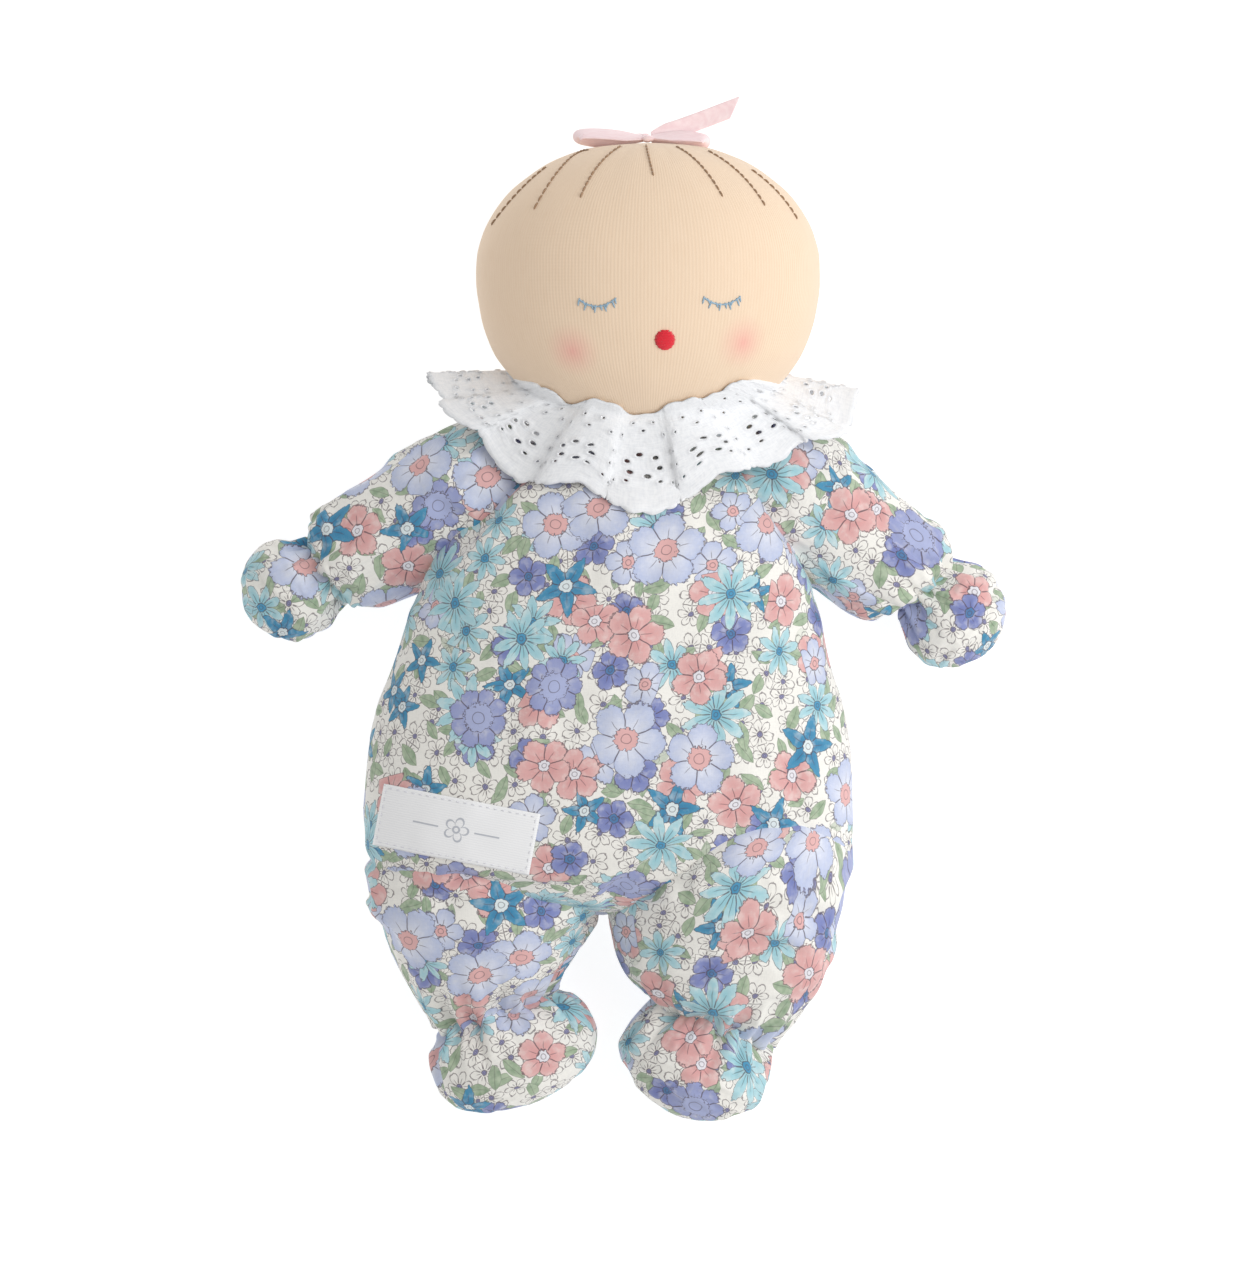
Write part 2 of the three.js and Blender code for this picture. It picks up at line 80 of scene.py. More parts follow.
def node_box(name: str) -> tuple[Vector, Vector]:
    """Gives a CAD node's lowest and highest corners in millimetres."""
    low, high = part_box(name)
    return Vector(low) / MM, Vector(high) / MM


def node_centre(name: str) -> Vector:
    """Gives the middle of a CAD node's box in millimetres."""
    low, high = node_box(name)
    return (low + high) / 2


# --------------------------------------------------------------------------- curves and meshes
def smooth_table(keys: list[tuple[float, float]], at: np.ndarray) -> np.ndarray:
    """Interpolates a table smoothly, with level or averaged slopes at its keys.

    Args:
        keys: Places and values, in order of place.
        at: The places wanted.

    Returns:
        The values there.
    """
    x = np.array([k[0] for k in keys], float)
    y = np.array([k[1] for k in keys], float)
    slope = np.diff(y) / np.diff(x)
    tangent = np.zeros_like(y)
    before, after = slope[:-1], slope[1:]
    tangent[1:-1] = np.where(before * after > 0, 2 * before * after / (before + after + 1e-12), 0)
    tangent[0], tangent[-1] = slope[0], slope[-1]
    at = np.clip(np.asarray(at, float), x[0], x[-1])
    i = np.clip(np.searchsorted(x, at, side="right") - 1, 0, len(x) - 2)
    h = x[i + 1] - x[i]
    t = (at - x[i]) / h
    return (
        (2 * t**3 - 3 * t**2 + 1) * y[i]
        + (t**3 - 2 * t**2 + t) * h * tangent[i]
        + (3 * t**2 - 2 * t**3) * y[i + 1]
        + (t**3 - t**2) * h * tangent[i + 1]
    )


def mesh_piece(
    name: str, verts: list | np.ndarray, faces: list, uvs: list | np.ndarray | None = None,
) -> bpy.types.Object:
    """Makes a smooth-shaded mesh object.

    Args:
        name: The piece's name.
        verts: Its points in millimetres.
        faces: Lists of vertex indices.
        uvs: UV of each face corner in order, if it has any.

    Returns:
        The object, linked to the scene.
    """
    mesh = bpy.data.meshes.new(name)
    mesh.from_pydata((np.array([list(v) for v in verts], float) * MM).tolist(), [], faces)
    if uvs is not None:
        layer = mesh.uv_layers.new(name="cloth")
        layer.data.foreach_set("uv", np.asarray(uvs, np.float32).ravel())
    mesh.shade_smooth()
    mesh.update()
    piece = bpy.data.objects.new(name, mesh)
    bpy.context.scene.collection.objects.link(piece)
    return piece


def dress(piece: bpy.types.Object, material: bpy.types.Material, body: str) -> bpy.types.Object:
    """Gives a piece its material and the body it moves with."""
    piece.data.materials.clear()
    piece.data.materials.append(material)
    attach(piece, body)
    LOG.info("%s on %s: %d faces", piece.name, body, len(piece.data.polygons))
    return piece


def rounded(piece: bpy.types.Object, levels: int = 1) -> bpy.types.Object:
    """Adds a subdivision surface to a piece."""
    modifier = piece.modifiers.new("rounded", "SUBSURF")
    modifier.levels = levels
    modifier.render_levels = levels
    return piece


def tube(points: list[Vector], radius: float, sides: int = 8, taper: float = 0.0) -> tuple[list, list]:
    """Sweeps a round thread along points, narrowing by the taper towards its ends, which are closed flat.

    Args:
        points: The thread's line in millimetres.
        radius: Its radius.
        sides: Sides of its section.
        taper: Share of the radius lost at the two ends.

    Returns:
        Its vertices and faces.
    """
    verts, faces = [], []
    count = len(points)
    normal = None
    for i, point in enumerate(points):
        along = (points[min(i + 1, count - 1)] - points[max(i - 1, 0)]).normalized()
        normal = normal or along.orthogonal()
        normal = (normal - along * normal.dot(along)).normalized()
        across = along.cross(normal)
        edge = min(i, count - 1 - i) / max(count - 1, 1) * 2
        r = radius * (1 - taper * (1 - min(edge * 2, 1)) ** 2)
        for k in range(sides):
            angle = 2 * math.pi * k / sides
            verts.append(point + normal * (r * math.cos(angle)) + across * (r * math.sin(angle)))
    for i in range(count - 1):
        for k in range(sides):
            a, b = i * sides + k, i * sides + (k + 1) % sides
            faces.append([a, b, b + sides, a + sides])
    faces.append(list(range(sides))[::-1])
    faces.append([(count - 1) * sides + k for k in range(sides)])
    return verts, faces


def threads_piece(
    name: str, runs: list[list[Vector]], radius: float, taper: float = 0.5,
) -> bpy.types.Object:
    """Makes one mesh of many thread stitches."""
    verts, faces = [], []
    for run in runs:
        v, f = tube(run, radius, 8, taper)
        faces += [[i + len(verts) for i in face] for face in f]
        verts += v
    return mesh_piece(name, verts, faces)


class Skin:
    """The finished surface of a piece, to lay other pieces on."""

    def __init__(self, piece: bpy.types.Object, middle: tuple[float, float] = (0.0, 0.0)) -> None:
        """Reads the surface of a piece with its modifiers, before it is parented.

        Args:
            piece: The piece.
            middle: Plan position of its middle, in millimetres.
        """
        self.tree = BVHTree.FromObject(piece, bpy.context.evaluated_depsgraph_get())
        self.middle = Vector(middle)

    def height(self, x: float, y: float) -> float:
        """Gives the height of the surface's front at a plan position, or 0 off the piece."""
        spot, _, _, _ = self.tree.ray_cast(Vector((x, y, 200)) * MM, -UP)
        return spot.z / MM if spot is not None else 0.0

    def above(self, x: float, y: float, lift: float) -> Vector:
        """Gives the surface's front point at a plan position.

        Args:
            x: Plan position across, in millimetres.
            y: Plan position along.
            lift: Height above the surface.

        Returns:
            The point, drawn in towards the piece's middle where the plan position is off the piece.
        """
        flat = Vector((x, y))
        for _ in range(24):
            start = Vector((flat.x, flat.y, 200)) * MM
            spot, normal, _, _ = self.tree.ray_cast(start, -UP)
            if spot is not None:
                return spot / MM + normal * lift
            flat = flat.lerp(self.middle, 0.012)
        return Vector((flat.x, flat.y, 35))


@dataclass(frozen=True)
class Crease:
    """A sewn-in fold across a form's front.

    Attributes:
        line: Plan points of the fold, in millimetres, deepest at the first.
        depth: Depth at the first point; it fades to a third at the last.
        width: Half width of the fold.
    """

    line: tuple[tuple[float, float], ...]
    depth: float
    width: float

    def push(self, at: Vector) -> float:
        """Gives how far a point of the form moves out, negative in the fold and positive beside it."""
        flat = Vector((at.x, at.y))
        best, place = 1e9, 0.0
        for i in range(len(self.line) - 1):
            a, b = Vector(self.line[i]), Vector(self.line[i + 1])
            t = min(max((flat - a).dot(b - a) / (b - a).length_squared, 0), 1)
            away = (flat - a.lerp(b, t)).length
            if away < best:
                best, place = away, (i + t) / (len(self.line) - 1)
        deep = self.depth * (1 - 0.67 * place)
        groove = math.exp(-((best / self.width) ** 2))
        beside = math.exp(-(((best - 2.4 * self.width) / (1.5 * self.width)) ** 2))
        return deep * (0.32 * beside - groove)


# --------------------------------------------------------------------------- stuffed forms
@dataclass
class StuffedForm:
    """A stuffed form lofted through elliptical rings, in two panels with side seams.

    Attributes:
        name: The piece's name.
        start: Where the form's line starts, in millimetres.
        end: The point that its line runs towards.
        widths: Half width against distance along the line.
        fronts: Half depth towards the front against distance.
        backs: Half depth towards the back against distance.
        drift: Sideways shift of the line against distance.
        lift: Shift of the line towards the front against distance.
        lean: Slope of the rings against distance: how far along a ring's side lies, per millimetre across.
        rings: Rings along the form.
        sectors: Points round each ring, a multiple of four.
        pattern: Offset of the print on this form.
        gathers: Places along the line where thread gathers the cloth: (place, reach, depth).
        pleats: Pleats round a gather.
        floor: Height that the form's underside is pressed flat at, if any.
        seed: Seed of the pleats and soft dents.
        dents: Height of the soft dents.
        creases: Folds across the front.
    """

    name: str
    start: Vector
    end: Vector
    widths: list[tuple[float, float]]
    fronts: list[tuple[float, float]]
    backs: list[tuple[float, float]]
    drift: list[tuple[float, float]] = field(default_factory=lambda: [(0, 0), (1, 0)])
    lift: list[tuple[float, float]] = field(default_factory=lambda: [(0, 0), (1, 0)])
    lean: list[tuple[float, float]] = field(default_factory=lambda: [(0, 0), (1, 0)])
    rings: int = 56
    sectors: int = 96
    pattern: tuple[float, float] = (0.0, 0.0)
    gathers: list[tuple[float, float, float]] = field(default_factory=list)
    pleats: int = 13
    floor: float = 0.4
    seed: int = 1
    dents: float = 0.5
    creases: tuple[Crease, ...] = ()

    def basis(self) -> tuple[Vector, Vector, Vector]:
        """Gives the form's directions: across, along and to the front."""
        along = (self.end - self.start).normalized()
        across = along.cross(UP).normalized()
        return across, along, across.cross(along)

    def places(self) -> np.ndarray:
        """Gives the rings' places, closer together at the ends."""
        first, last = self.widths[0][0], self.widths[-1][0]
        even = np.linspace(0, 1, self.rings)
        eased = 0.5 - 0.5 * np.cos(math.pi * even)
        return first + (last - first) * (0.45 * even + 0.55 * eased)

    def pleat_table(self, gather: int) -> np.ndarray:
        """Gives the pleat height round one gather, from -1 to 1, for each sector."""
        rng = np.random.default_rng(self.seed * 31 + gather)
        angle = np.linspace(0, 2 * math.pi, self.sectors, endpoint=False)
        phases = rng.uniform(0, 2 * math.pi, 3)
        counts = (self.pleats, self.pleats + 5, max(self.pleats - 6, 3))
        weights = (0.55, 0.25, 0.4)
        ridges = (np.abs(np.cos((c * angle + p) / 2)) ** 0.7 for c, p in zip(counts, phases))
        return sum(w * (2 * ridge - 1.15) for w, ridge in zip(weights, ridges))

    def points(self) -> np.ndarray:
        """Gives the rings' points.

        Returns:
            An array of rings by sectors by three, in millimetres.
        """
        across, along, front = (np.array(v) for v in self.basis())
        s = self.places()
        half, ahead, behind = (smooth_table(t, s) for t in (self.widths, self.fronts, self.backs))
        shift, rise = smooth_table(self.drift, s), smooth_table(self.lift, s)
        angle = np.linspace(0, 2 * math.pi, self.sectors, endpoint=False)
        sin, cos = np.sin(angle), np.cos(angle)
        depth = np.where(cos[None, :] > 0, ahead[:, None], behind[:, None])
        swell = np.ones((self.rings, self.sectors))
        for i, (place, reach, deep) in enumerate(self.gathers):
            near = np.exp(-np.abs(s - place) / reach)[:, None]
            swell += near * self.pleat_table(i)[None, :] * deep
        centre = np.array(self.start)[None, None, :] + along * s[:, None, None]
        centre = centre + across * shift[:, None, None] + front * rise[:, None, None]
        wide = (half[:, None] * sin[None, :] * swell)[:, :, None]
        deep = (depth * cos[None, :] * swell)[:, :, None]
        slope = smooth_table(self.lean, s)[:, None, None]
        return centre + (across + along * slope) * wide + front * deep

    def cloth_uvs(self, points: np.ndarray) -> tuple[np.ndarray, np.ndarray]:
        """Measures the cloth: distance round from each panel's middle, and distance along it.

        Args:
            points: The rings' points.

        Returns:
            The signed distance round for every sector edge, front and back, and the distance along.
        """
        n, quarter = self.sectors, self.sectors // 4
        closed = np.concatenate([points, points[:, :1]], axis=1)
        steps = np.linalg.norm(np.diff(closed, axis=1), axis=2)
        total = np.concatenate([np.zeros((len(points), 1)), np.cumsum(steps, axis=1)], axis=1)
        front = np.where(np.arange(n + 1)[None, :] <= n // 2, total, total - total[:, -1:])
        back = total - total[:, [2 * quarter]]
        middle = np.linalg.norm(np.diff(points[:, quarter // 2], axis=0), axis=1)
        along = np.concatenate([[0], np.cumsum(middle)])
        return np.stack([front, back]), along

    def build(self) -> bpy.types.Object:
        """Makes the form's closed mesh with a print that meets at the side seams."""
        points = self.points()
        rings, n = points.shape[:2]
        rounds, along = self.cloth_uvs(points)
        verts = points.reshape(-1, 3)
        caps = np.array([points[0].mean(axis=0), points[-1].mean(axis=0)])
        verts = np.concatenate([verts, caps])
        faces, uvs = [], []

        def uv(ring: int, k: int, panel: int) -> tuple[float, float]:
            """Gives one corner's place on the cloth."""
            u = rounds[panel, ring, k] + self.pattern[0] + panel * 190
            return (u * UV_SCALE, (along[ring] + self.pattern[1]) * UV_SCALE)

        for k in range(n):
            panel = 0 if k < n // 4 or k >= 3 * n // 4 else 1
            nxt = (k + 1) % n
            for i in range(rings - 1):
                faces.append([i * n + k, i * n + nxt, (i + 1) * n + nxt, (i + 1) * n + k])
                uvs += [uv(i, k, panel), uv(i, k + 1, panel), uv(i + 1, k + 1, panel), uv(i + 1, k, panel)]
            faces.append([rings * n, nxt, k])
            uvs += [uv(0, k, panel), uv(0, k + 1, panel), uv(0, k, panel)]
            last = (rings - 1) * n
            faces.append([rings * n + 1, last + k, last + nxt])
            uvs += [uv(rings - 1, k, panel), uv(rings - 1, k, panel), uv(rings - 1, k + 1, panel)]
        piece = mesh_piece(self.name, verts, faces, np.array(uvs))
        self.dent(piece)
        return piece

    def dent(self, piece: bpy.types.Object) -> None:
        """Presses soft dents into the form and keeps it above the floor."""
        mesh = piece.data
        offset = Vector((self.seed * 7.3, self.seed * 3.1, self.seed * 5.7))
        for vertex in mesh.vertices:
            at = vertex.co / MM
            broad = noise.noise(at / 26 + offset)
            fine = noise.noise(at / 9 + offset * 2)
            push = (broad * 1.5 + fine * 0.6) * self.dents
            if vertex.normal.z > 0.1:
                push += sum(crease.push(at) for crease in self.creases)
            vertex.co += vertex.normal * (push * MM)
            vertex.co.z = max(vertex.co.z, self.floor * MM)
        mesh.update()


@dataclass
class ClothSettling:
    """A short cloth simulation that lets a stuffed form's cloth pucker between its gathers.

    Attributes:
        frames: Frames that are run.
        pressure: Pressure of the fill.
        slack: Extra cloth, as a share of its size.
        cap: Furthest that a point may move, in millimetres.
    """

    frames: int = 14
    pressure: float = 2.6
    slack: float = 0.045
    cap: float = 5.0

    def apply(self, piece: bpy.types.Object, pinned: np.ndarray, floor: float) -> None:
        """Runs the simulation and keeps its result in the mesh.

        Args:
            piece: The form's object, before any modifier.
            pinned: How firmly each vertex is held, from 0 to 1.
            floor: Lowest height that a point may have, in millimetres.
        """
        mesh = piece.data
        before = np.empty(len(mesh.vertices) * 3)
        mesh.vertices.foreach_get("co", before)
        group = piece.vertex_groups.new(name="sewn")
        for index, weight in enumerate(pinned):
            if weight > 0.01:
                group.add([index], float(weight), "REPLACE")
        cloth = piece.modifiers.new("cloth", "CLOTH")
        settings = cloth.settings
        settings.vertex_group_mass = group.name
        settings.use_pressure = True
        settings.uniform_pressure_force = self.pressure
        settings.shrink_min = -self.slack
        settings.quality = 5
        settings.mass = 0.15
        settings.tension_stiffness = 18
        settings.compression_stiffness = 18
        settings.bending_stiffness = 0.25
        settings.effector_weights.gravity = 0
        cloth.point_cache.frame_start = 1
        cloth.point_cache.frame_end = self.frames
        scene = bpy.context.scene
        for number in range(1, self.frames + 1):
            scene.frame_set(number)
        graph = bpy.context.evaluated_depsgraph_get()
        shaped = piece.evaluated_get(graph).data
        after = np.empty(len(mesh.vertices) * 3)
        shaped.vertices.foreach_get("co", after)
        piece.modifiers.remove(cloth)
        scene.frame_set(1)
        move = (after - before).reshape(-1, 3)
        length = np.linalg.norm(move, axis=1, keepdims=True) / MM
        move *= np.minimum(1, self.cap / np.maximum(length, 1e-6))
        placed = before.reshape(-1, 3) + move
        placed[:, 2] = np.maximum(placed[:, 2], floor * MM)
        mesh.vertices.foreach_set("co", placed.ravel())
        mesh.update()
        LOG.info("%s settled: most moved %.1f mm", piece.name, float(length.max()))


# --------------------------------------------------------------------------- shader graphs
Value = Socket | float


class Graph:
    """A material's node graph around one principled shader."""

    def __init__(self, name: str, roughness: float, sheen: float = 0.0, specular: float = 0.5) -> None:
        """Starts a material.

        Args:
            name: The material's name.
            roughness: The shader's roughness.
            sheen: The shader's sheen weight.
            specular: The shader's specular level.
        """
        self.material = bpy.data.materials.new(name)
        self.material.use_nodes = True
        self.tree = self.material.node_tree
        self.shader = next(n for n in self.tree.nodes if n.type == "BSDF_PRINCIPLED")
        self.shader.inputs["Roughness"].default_value = roughness
        self.shader.inputs["Sheen Weight"].default_value = sheen
        self.shader.inputs["Sheen Roughness"].default_value = 0.5
        self.shader.inputs["Specular IOR Level"].default_value = specular

    def node(self, kind: str, **settings) -> bpy.types.Node:
        """Adds a node with its properties set."""
        made = self.tree.nodes.new(kind)
        for key, value in settings.items():
            setattr(made, key, value)
        return made

    def put(self, socket: Socket, value: Value | tuple) -> None:
        """Links a socket to another, or gives it a constant."""
        if isinstance(value, bpy.types.NodeSocket):
            self.tree.links.new(value, socket)
        else:
            socket.default_value = value

    def math(self, operation: str, *values: Value, clamp: bool = False) -> Socket:
        """Adds a math node and gives its result."""
        made = self.node("ShaderNodeMath", operation=operation, use_clamp=clamp)
        for socket, value in zip(made.inputs, values):
            self.put(socket, value)
        return made.outputs[0]

    def add(self, a: Value, b: Value) -> Socket:
        """Gives a sum."""
        return self.math("ADD", a, b)

    def sub(self, a: Value, b: Value) -> Socket:
        """Gives a difference."""
        return self.math("SUBTRACT", a, b)

    def mul(self, a: Value, b: Value) -> Socket:
        """Gives a product."""
        return self.math("MULTIPLY", a, b)

    def ramp_up(self, value: Value, low: float, high: float) -> Socket:
        """Gives 0 at low and below, 1 at high and above, and a straight rise between."""
        made = self.node("ShaderNodeMapRange", clamp=True)
        self.put(made.inputs["Value"], value)
        made.inputs["From Min"].default_value = low
        made.inputs["From Max"].default_value = high
        return made.outputs[0]

    def line(self, distance: Value, width: float) -> Socket:
        """Gives 1 on a drawn line, fading to 0 a width away from it."""
        away = self.math("ABSOLUTE", distance)
        return self.sub(1.0, self.ramp_up(away, width * 0.45, width))

    def mix(self, factor: Value, a: Value | tuple, b: Value | tuple) -> Socket:
        """Mixes two colours."""
        made = self.node("ShaderNodeMix", data_type="RGBA")
        self.put(made.inputs["Factor"], factor)
        self.put(made.inputs["A"], a)
        self.put(made.inputs["B"], b)
        return made.outputs["Result"]

    def choose(self, value: Socket, stops: list[tuple[float, tuple]]) -> Socket:
        """Picks a constant colour for each stretch of a value from 0 to 1."""
        made = self.node("ShaderNodeValToRGB")
        made.color_ramp.interpolation = "CONSTANT"
        elements = made.color_ramp.elements
        while len(elements) < len(stops):
            elements.new(1.0)
        for element, (place, colour) in zip(elements, stops):
            element.position = place
            element.color = (*colour[:3], 1)
        self.put(made.inputs[0], value)
        return made.outputs[0]

    def noise(self, vector: Socket, scale: float, detail: float = 2.0) -> bpy.types.Node:
        """Adds a noise texture on a vector."""
        made = self.node("ShaderNodeTexNoise")
        made.inputs["Scale"].default_value = scale
        made.inputs["Detail"].default_value = detail
        self.put(made.inputs["Vector"], vector)
        return made

    def split(self, vector: Socket) -> tuple[Socket, Socket, Socket]:
        """Gives a vector's parts."""
        made = self.node("ShaderNodeSeparateXYZ")
        self.put(made.inputs[0], vector)
        return made.outputs[0], made.outputs[1], made.outputs[2]

    def join(self, x: Value, y: Value, z: Value = 0.0) -> Socket:
        """Makes a vector from its parts."""
        made = self.node("ShaderNodeCombineXYZ")
        for socket, value in zip(made.inputs, (x, y, z)):
            self.put(socket, value)
        return made.outputs[0]

    def vector_math(self, operation: str, a: Socket, b: Socket | tuple) -> Socket:
        """Adds a vector math node and gives its vector."""
        made = self.node("ShaderNodeVectorMath", operation=operation)
        self.put(made.inputs[0], a)
        self.put(made.inputs[1], b)
        return made.outputs[0]

    def scaled(self, vector: Socket, factor: float) -> Socket:
        """Gives a vector times a number."""
        return self.vector_math("MULTIPLY", vector, (factor, factor, factor))

    def cloth_place(self) -> Socket:
        """Gives the place on the cloth in millimetres, from its UVs."""
        return self.scaled(self.node("ShaderNodeUVMap", uv_map="cloth").outputs[0], 1 / UV_SCALE)

    def object_place(self) -> Socket:
        """Gives the place in the piece's own space, in millimetres."""
        return self.scaled(self.node("ShaderNodeTexCoord").outputs["Object"], 1 / MM)

    def bump(self, height: Value, distance: float, strength: float = 1.0) -> None:
        """Roughens the surface by a height from 0 to 1, of a depth in millimetres."""
        made = self.node("ShaderNodeBump")
        made.inputs["Strength"].default_value = strength
        made.inputs["Distance"].default_value = distance * MM
        self.put(made.inputs["Height"], height)
        self.put(self.shader.inputs["Normal"], made.outputs[0])

    def colour(self, value: Value | tuple) -> bpy.types.Material:
        """Sets the base colour and gives the material."""
        self.put(self.shader.inputs["Base Color"], value)
        return self.material


def srgb(red: int, green: int, blue: int) -> tuple[float, float, float, float]:
    """Turns an 8-bit screen colour into a linear one."""
    parts = [c / 255 for c in (red, green, blue)]
    return (*(c / 12.92 if c <= 0.04045 else ((c + 0.055) / 1.055) ** 2.4 for c in parts), 1.0)


@dataclass(frozen=True)
class Bloom:
    """One kind of printed flower.

    Attributes:
        share: Where its share of the random pick starts, from 0.
        petals: Number of petals.
        radius: Radius in millimetres.
        notch: How far the notches between petals cut in, as a share of the radius.
        point: 0 for round petals, 1 for pointed ones.
        heart: Radius of the centre in millimetres.
        tint: Petal colour.
        shade: Petal colour near the centre.
        middle: Colour of the centre.
    """

    share: float
    petals: int
    radius: float
    notch: float
    point: float
    heart: float
    tint: tuple
    shade: tuple
    middle: tuple


GROUND = srgb(241, 239, 233)
INK = srgb(82, 68, 76)
LEAF = srgb(180, 195, 169)
LEAF_DARK = srgb(142, 165, 136)

BLOOMS = (
    Bloom(0.00, 5, 11.8, 0.40, 0.0, 3.5, srgb(182, 193, 224), srgb(219, 223, 237), srgb(226, 178, 176)),
    Bloom(0.32, 9, 10.8, 0.76, 0.25, 1.6, srgb(184, 217, 223), srgb(152, 202, 213), srgb(78, 152, 190)),
    Bloom(0.58, 5, 9.8, 0.58, 1.0, 2.1, srgb(78, 150, 186), srgb(60, 132, 172), srgb(220, 230, 232)),
    Bloom(0.77, 8, 9.0, 0.24, 0.0, 4.4, srgb(148, 156, 202), srgb(164, 172, 209), srgb(172, 180, 216)),
    Bloom(0.92, 5, 8.8, 0.42, 0.0, 1.9, srgb(227, 183, 180), srgb(218, 162, 160), srgb(230, 228, 234)),
)

SMALL_BLOOMS = (
    Bloom(0.00, 5, 8.3, 0.42, 0.0, 1.9, srgb(227, 184, 181), srgb(219, 163, 161), srgb(230, 228, 234)),
    Bloom(0.18, 5, 6.6, 0.34, 0.0, 1.5, srgb(142, 150, 198), srgb(118, 128, 184), srgb(80, 124, 172)),
    Bloom(0.42, 8, 8.4, 0.76, 0.25, 1.4, srgb(186, 218, 224), srgb(154, 203, 214), srgb(78, 152, 190)),
    Bloom(0.67, 5, 7.8, 0.58, 1.0, 1.7, srgb(80, 153, 188), srgb(62, 135, 174), srgb(220, 230, 232)),
    Bloom(0.82, 5, 7.6, 0.40, 0.0, 2.0, srgb(184, 194, 224), srgb(214, 219, 235), srgb(226, 178, 176)),
)

DAISIES = (Bloom(0.0, 6, 4.4, 0.62, 0.0, 0.8, GROUND, srgb(240, 238, 232), srgb(146, 148, 188)),)


PACK = 12.0  # counts and lengths of a bloom go through colour stops as shares of this


@dataclass(frozen=True)
class FloralCotton:
    """Plain-weave cotton printed with watercolour flowers that have thin drawn outlines."""

    spacing: float = 24.0
    small_spacing: float = 16.5
    daisy_spacing: float = 8.4
    leaf_spacing: float = 10.4

    def turned(self, g: Graph, place: Socket, degrees: float) -> Socket:
        """Turns the place on the cloth, so that each scatter's rows run their own way."""
        made = g.node("ShaderNodeVectorRotate", rotation_type="Z_AXIS")
        g.put(made.inputs["Vector"], place)
        made.inputs["Angle"].default_value = math.radians(degrees)
        return made.outputs[0]

    def cells(self, g: Graph, place: Socket, spacing: float, shift: float, jitter: float) -> tuple:
        """Scatters cells over the cloth.

        Args:
            g: The material's graph.
            place: Place on the cloth in millimetres.
            spacing: Mean distance between the cells' centres.
            shift: Offset that makes this scatter its own.
            jitter: How irregular the scatter is, from 0 to 1.

        Returns:
            Three random numbers for the cell, the place from its centre, the distance to its edge and
            whether the cell is in a patch of small daisies.
        """
        moved = g.vector_math("ADD", place, (shift, shift * 1.7, 0))
        near = g.node("ShaderNodeTexVoronoi", voronoi_dimensions="2D")
        edge = g.node("ShaderNodeTexVoronoi", voronoi_dimensions="2D", feature="DISTANCE_TO_EDGE")
        for made in (near, edge):
            g.put(made.inputs["Vector"], moved)
            made.inputs["Scale"].default_value = 1 / spacing
            made.inputs["Randomness"].default_value = jitter
        middle = near.outputs["Position"]
        local = g.vector_math("SUBTRACT", moved, middle)
        patch = self.patch(g, g.vector_math("SUBTRACT", middle, (shift, shift * 1.7, 0)))
        return g.split(near.outputs["Color"]), local, g.mul(edge.outputs["Distance"], spacing), patch

    def patch(self, g: Graph, place: Socket) -> Socket:
        """Gives 1 where small daisies fill a patch of the cloth."""
        return g.ramp_up(g.noise(place, 0.028, 1.0).outputs[0], 0.565, 0.57)

    def blooms(
        self, g: Graph, under: Socket, place: Socket, wobble: Socket, kinds: tuple, cells: tuple,
    ) -> Socket:
        """Draws one scatter of flowers over a colour.

        Args:
            g: The material's graph.
            under: The colour beneath.
            place: Place on the cloth in millimetres.
            wobble: Hand-drawn wobble, about -0.5 to 0.5.
            kinds: The kinds of flower.
            cells: The scatter, as cells() gives it.

        Returns:
            The colour with the flowers drawn.
        """
        (pick, turn, tone), local, edge, gone = cells
        shape = g.choose(pick, [(k.share, (k.petals / PACK, k.radius / PACK, k.notch)) for k in kinds])
        detail = g.choose(pick, [(k.share, (k.point, k.heart / PACK, 0)) for k in kinds])
        tint = g.choose(pick, [(k.share, k.tint) for k in kinds])
        shade = g.choose(pick, [(k.share, k.shade) for k in kinds])
        middle = g.choose(pick, [(k.share, k.middle) for k in kinds])
        petals, radius, notch = (g.split(shape)[i] for i in range(3))
        petals = g.math("ROUND", g.mul(petals, PACK))
        radius = g.mul(g.mul(radius, PACK), g.add(0.9, g.mul(tone, 0.16)))
        point, heart, _ = g.split(detail)
        heart = g.mul(heart, PACK)

        x, y, _ = g.split(local)
        away = g.math("SQRT", g.add(g.mul(x, x), g.mul(y, y)))
        angle = g.add(g.math("ARCTAN2", y, x), g.mul(turn, 6.283))
        half = g.mul(g.mul(angle, petals), 0.5)
        lobe = g.math("ABSOLUTE", g.math("COSINE", half))
        gap = g.math("ABSOLUTE", g.math("SINE", half))
        round_petal = g.math("POWER", lobe, 0.5)
        sharp_petal = g.sub(1.0, g.math("POWER", gap, 1.1))
        form = g.add(g.mul(round_petal, g.sub(1.0, point)), g.mul(sharp_petal, point))
        reach = g.add(g.sub(1.0, notch), g.mul(notch, form))
        rim = g.mul(g.mul(radius, reach), g.add(1.0, g.mul(wobble, 0.3)))
        inside = g.sub(g.sub(rim, away), g.mul(gone, 100.0))

        petal_mask = g.ramp_up(inside, 0.0, 0.14)
        wash = g.noise(place, 0.32, 3.0).outputs[0]
        share = g.math("DIVIDE", away, g.math("MAXIMUM", rim, 0.1))
        blend = g.ramp_up(g.add(share, g.mul(g.sub(wash, 0.5), 0.9)), 0.35, 1.0)
        petal = g.mix(blend, shade, tint)
        petal = g.mix(g.mul(g.ramp_up(wash, 0.5, 0.78), 0.42), petal, GROUND)

